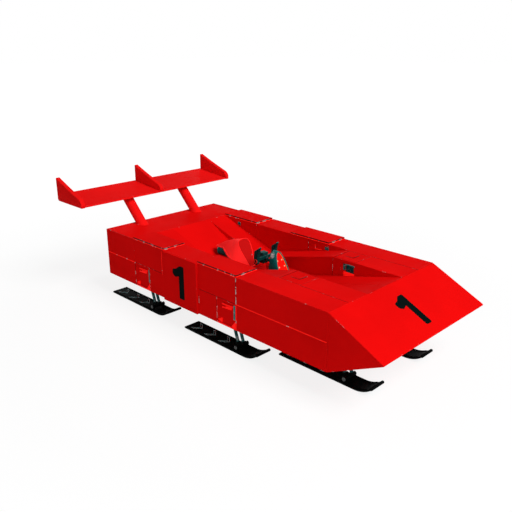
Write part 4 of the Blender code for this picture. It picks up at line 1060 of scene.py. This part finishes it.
def vee(tip, point, front, back, notch, half):
    """Outline of a V, from how far its corners lie behind the tip and from its half width."""
    return [(tip - point, 0), (tip - front, half), (tip - back, half), (tip - notch, 0), (tip - back, -half),
            (tip - front, -half)]


def build_marks():
    """The stuck-on strips, each a V-shaped frame that points forward."""
    bm = bmesh.new()
    low = SKI_THICK - PIN_HEIGHT + 0.0002
    for tip in MARK_TIPS:
        outer = vee(tip - SKI_BEHIND, *MARK_OUTLINE)
        inner = vee(tip - SKI_BEHIND, *MARK_HOLLOW)
        rings = ((outer, 0), (outer, MARK_THICK), (inner, MARK_THICK), (inner, 0), (outer, 0))
        skin([[(x, y, low + lift) for x, y in ring] for ring, lift in rings], bm, close=False)
    bmesh.ops.remove_doubles(bm, verts=bm.verts, dist=1e-6)
    return to_mesh(bm)


def ski_surface(name, colour, bare, roughness, wear):
    """Hard black coating with fine scratches along the ski, rubbed greyer on the edges."""
    material, tree, shader = new_material(name)
    scratches = between(grain(tree, 160, 3, (0.03, 1, 1)), 0.60, 0.74, 0, 0.6)
    edge = maths("MULTIPLY", edge_share(tree, 0.002), between(grain(tree, 30), 0.35, 0.65, 0.2, 0.9))
    patches = between(grain(tree, 16, 5), wear, wear + 0.1, 0, 0.5)
    worn = maths("MAXIMUM", maths("MAXIMUM", scratches, edge), patches)
    rough = between(grain(tree, 22, 4), 0.3, 0.7, roughness - 0.06, roughness + 0.08)
    feed(shader, Base_Color=mixed(worn, colour, bare), Roughness=rough, Specular_IOR_Level=0.02,
         Normal=relief(grain(tree, 240, 3), 0.0001, 0.0016))
    return material


ski_coat = ski_surface("ski_coat", SKI_BLACK, (0.008, 0.010, 0.010, 1), 0.55, 0.64)
lit_mark_tape = ski_surface("lit_mark_tape", MARK_GREY_LIT, (0.42, 0.66, 0.66, 1), 0.75, 0.60)
for leg, at in LEGS.items():
    add_piece("runner_" + leg, placed(build_runner(), at), ski_coat, "runner_" + leg, "ski_black", "ski_" + leg)
    add_piece("grip_strips_" + leg, placed(build_marks(), at), lit_mark_tape, "runner_" + leg, "grip_black")

# Legs and pins: two ground rods in a black cast foot, under a cast crown, and a turned pin through
# the foot with a domed head at each end.
LEG_LEAN = math.radians(19.5)
ROD_RADIUS = 0.015
ROD_SPREAD = 0.0354
ROD_FOOT = 0.0225
BLOCK_HALF = 0.0554
BLOCK_WIDE = 0.024
SOCKET_HALF = 0.019
CROWN_LOW = 0.4537
ROD_LENGTH = CROWN_LOW - 0.022
PIN_REACH = 0.0793
BARREL_REACH = 0.0594
BARREL_PROFILE = [(0, 0), (0, 0.0155), (0.0015, 0.017), (0.1173, 0.017), (0.1188, 0.0155), (0.1188, 0)]
PIN_PROFILE = [(0, 0), (0, 0.0145), (0.002, 0.0175), (0.0062, 0.0175), (0.0070, 0.0170), (0.0070, 0.0092),
               (0.1516, 0.0092), (0.1516, 0.0170), (0.1524, 0.0175), (0.1566, 0.0175), (0.1586, 0.0145), (0.1586, 0)]
LEAN = Matrix.Rotation(-LEG_LEAN, 4, "Y")


def build_rods():
    bm = bmesh.new()
    for way in (-1, 1):
        profile = [(0, 0), (0, ROD_RADIUS), (ROD_LENGTH, ROD_RADIUS), (ROD_LENGTH, 0)]
        bm.from_mesh(placed(turned_mesh(profile, (way * ROD_SPREAD, 0, ROD_FOOT), (0, 0, 1), 32), LEAN))
    crown = ((-BLOCK_HALF, -BLOCK_WIDE, CROWN_LOW), (BLOCK_HALF, BLOCK_WIDE, CROWN_LOW + 0.016))
    bm.from_mesh(placed(eased_box([crown], 0.003, 3), LEAN))
    return to_mesh(bm)


def build_foot():
    bm = bmesh.new()
    bm.from_mesh(turned_mesh(BARREL_PROFILE, (0, -BARREL_REACH, 0), (0, 1, 0), 32))
    half = BLOCK_HALF - 0.004
    parts = [((-half, -BLOCK_WIDE, 0.009), (half, BLOCK_WIDE, 0.022))]
    for way in (-1, 1):
        middle = way * ROD_SPREAD
        parts.append(((middle - SOCKET_HALF, -SOCKET_HALF, 0.012), (middle + SOCKET_HALF, SOCKET_HALF, 0.036)))
    bm.from_mesh(placed(eased_box(parts, 0.003, 3), LEAN))
    return to_mesh(bm)


leg_metal = worn_metal("leg_metal", (0.010, 0.060, 0.060, 1), (0.26, 0.29, 0.29, 1), 0.34, 0.3, 0.54)
pin_metal = worn_metal("pin_metal", (0.07, 0.075, 0.075, 1), (0.20, 0.21, 0.21, 1), 0.36, 0.6, 0.60)
for leg, at in LEGS.items():
    add_piece("fork_rods_" + leg, placed(build_rods(), at), leg_metal, "fork_" + leg, "steel", "leg_" + leg)
    add_piece("fork_foot_" + leg, placed(build_foot(), at), ski_coat, "fork_" + leg, "ski_black")
    pin = placed(turned_mesh(PIN_PROFILE, (0, -PIN_REACH, 0), (0, 1, 0), 40), at)
    add_piece("clevis_" + leg, pin, pin_metal, "fork_" + leg, "steel", "pin_" + leg)

# Suspension cassettes, steering drums and gear cases: castings in a stained metal, kept as the
# imported solids. Slot guides show in the walls beside them, painted a lighter teal as a painted
# highlight on the shaded walls, and a folded bracket of the bay fittings' glowing red sheet, a
# painted highlight, holds each gear case from below.
CAST_TEAL = (0.0010, 0.100, 0.095, 1)
GUIDE_TEAL_LIT = (0.003, 0.15, 0.145, 1)
TRAY_WALL = abs(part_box("front_deck_left")[0].y)
WINDOW_BACK = AFT + 2.372
WINDOW_FRONT = AFT + 2.497
WINDOW_TOP = 0.716
SLOT_FRONT = 0.2400
SLOT_HEIGHTS = (0.345, 0.478)
GUIDE_SUNK = 0.004

cast_metal = worn_metal("cast_metal", CAST_TEAL, (0.30, 0.42, 0.41, 1), 0.46, 0.10, 0.60)
dress(cast_metal, [f"{kind}_{side}" for kind in ("cassette_rear", "cassette_middle", "steer_drum", "gear_case")
                   for side in SIDES])
# Lighter teal and pale edges: a painted highlight on the shaded walls.
lit_guide_metal = worn_metal("lit_guide_metal", GUIDE_TEAL_LIT, (0.42, 0.56, 0.55, 1), 0.40, 0.0, 0.54, 0.004)
for side, way in SIDES.items():
    wall = (way * (TRAY_WALL + GUIDE_SUNK), way * (TRAY_WALL - 0.0015))
    pod = (way * (POD_INNER + GUIDE_SUNK), way * (POD_INNER - 0.0012))
    outer = (way * (HALF_BODY - 0.012), way * (HALF_BODY + 0.0006))
    guides = [((WINDOW_BACK, wall[0], 0.652), (WINDOW_BACK + 0.024, wall[1], WINDOW_TOP)),
              ((WINDOW_BACK, wall[0], 0.704), (WINDOW_FRONT, wall[1], WINDOW_TOP))]
    for start, width in ((REAR_JOINT, 0.0120), (FRONT_JOINT - BAY_LENGTH, 0.0225)):
        slot = start + SLOT_FRONT
        guides.append(((start + 0.205, pod[0], 0.684), (start + 0.252, pod[1], WINDOW_TOP)))
        guides.append(((slot - width, outer[0], SLOT_HEIGHTS[0]), (slot, outer[1], SLOT_HEIGHTS[1])))
    add_piece("slot_guides_" + side, eased_box(guides, 0.0006), lit_guide_metal, "hull", "teal_metal")
    brackets = [((WINDOW_BACK + 0.008, wall[0], 0.624), (WINDOW_FRONT, wall[1] - way * 0.003, 0.640)),
                ((WINDOW_BACK + 0.008, wall[0], 0.596), (WINDOW_FRONT, wall[1], 0.634))]
    add_piece("gear_bracket_" + side, eased_box(brackets, 0.0006), fitting_highlight_paint, "hull", "hull_red")

# Hatch pulls: the angle-shaped recess in each lid is lined with a dark moulding, whose dark red is painted shade in
# the recess.
PULL_BEHIND = 0.150
PULL_SHIFT = 0.034
PULL_WIDTH = 0.008
PULL_ARMS = (0.092, 0.100)
PULL_DEPTH = 0.0040
PULL_THICK = 0.0046

# Dark red in the recess: painted shade.
pull_recess_shade = worn_bead("pull_recess_shade", (0.13, 0.003, 0.003, 1), 0.80)
for side in SIDES:
    lid_low, lid_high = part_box("hatch_" + side)
    corner = Vector((lid_low.x + PULL_BEHIND, (lid_low.y + lid_high.y) / 2 - PULL_SHIFT, DECK - PULL_DEPTH))
    arms = [(corner - Vector((PULL_ARMS[0], 0, 0)), corner + Vector((0, PULL_WIDTH, PULL_THICK))),
            (corner - Vector((PULL_WIDTH, 0, 0)), corner + Vector((0, PULL_ARMS[1], PULL_THICK)))]
    add_piece("pull_liner_" + side, eased_box(arms, 0.0004), pull_recess_shade, "lid_" + side, "ski_black")

# Seat: a rotationally moulded bucket, coloured red right through, with a slightly pebbled skin that
# is polished where the driver slides in and out.
SEAT_RED = (0.62, 0.004, 0.004, 1)
SEAT_POLISHED = (0.70, 0.006, 0.006, 1)

seat_skin, tree, shader = new_material("seat_skin")
polish = between(grain(tree, 6, 3), 0.40, 0.66)
rough = step(tree, "MapRange", polish, 0.0, 1.0, 0.62, 0.42).outputs[0]
feed(shader, Base_Color=mixed(polish, SEAT_RED, SEAT_POLISHED), Roughness=rough,
     Specular_IOR_Level=0.02, Normal=relief(grain(tree, 420, 2), 0.0005, 0.003))
dress(seat_skin, ["seat_shell"])
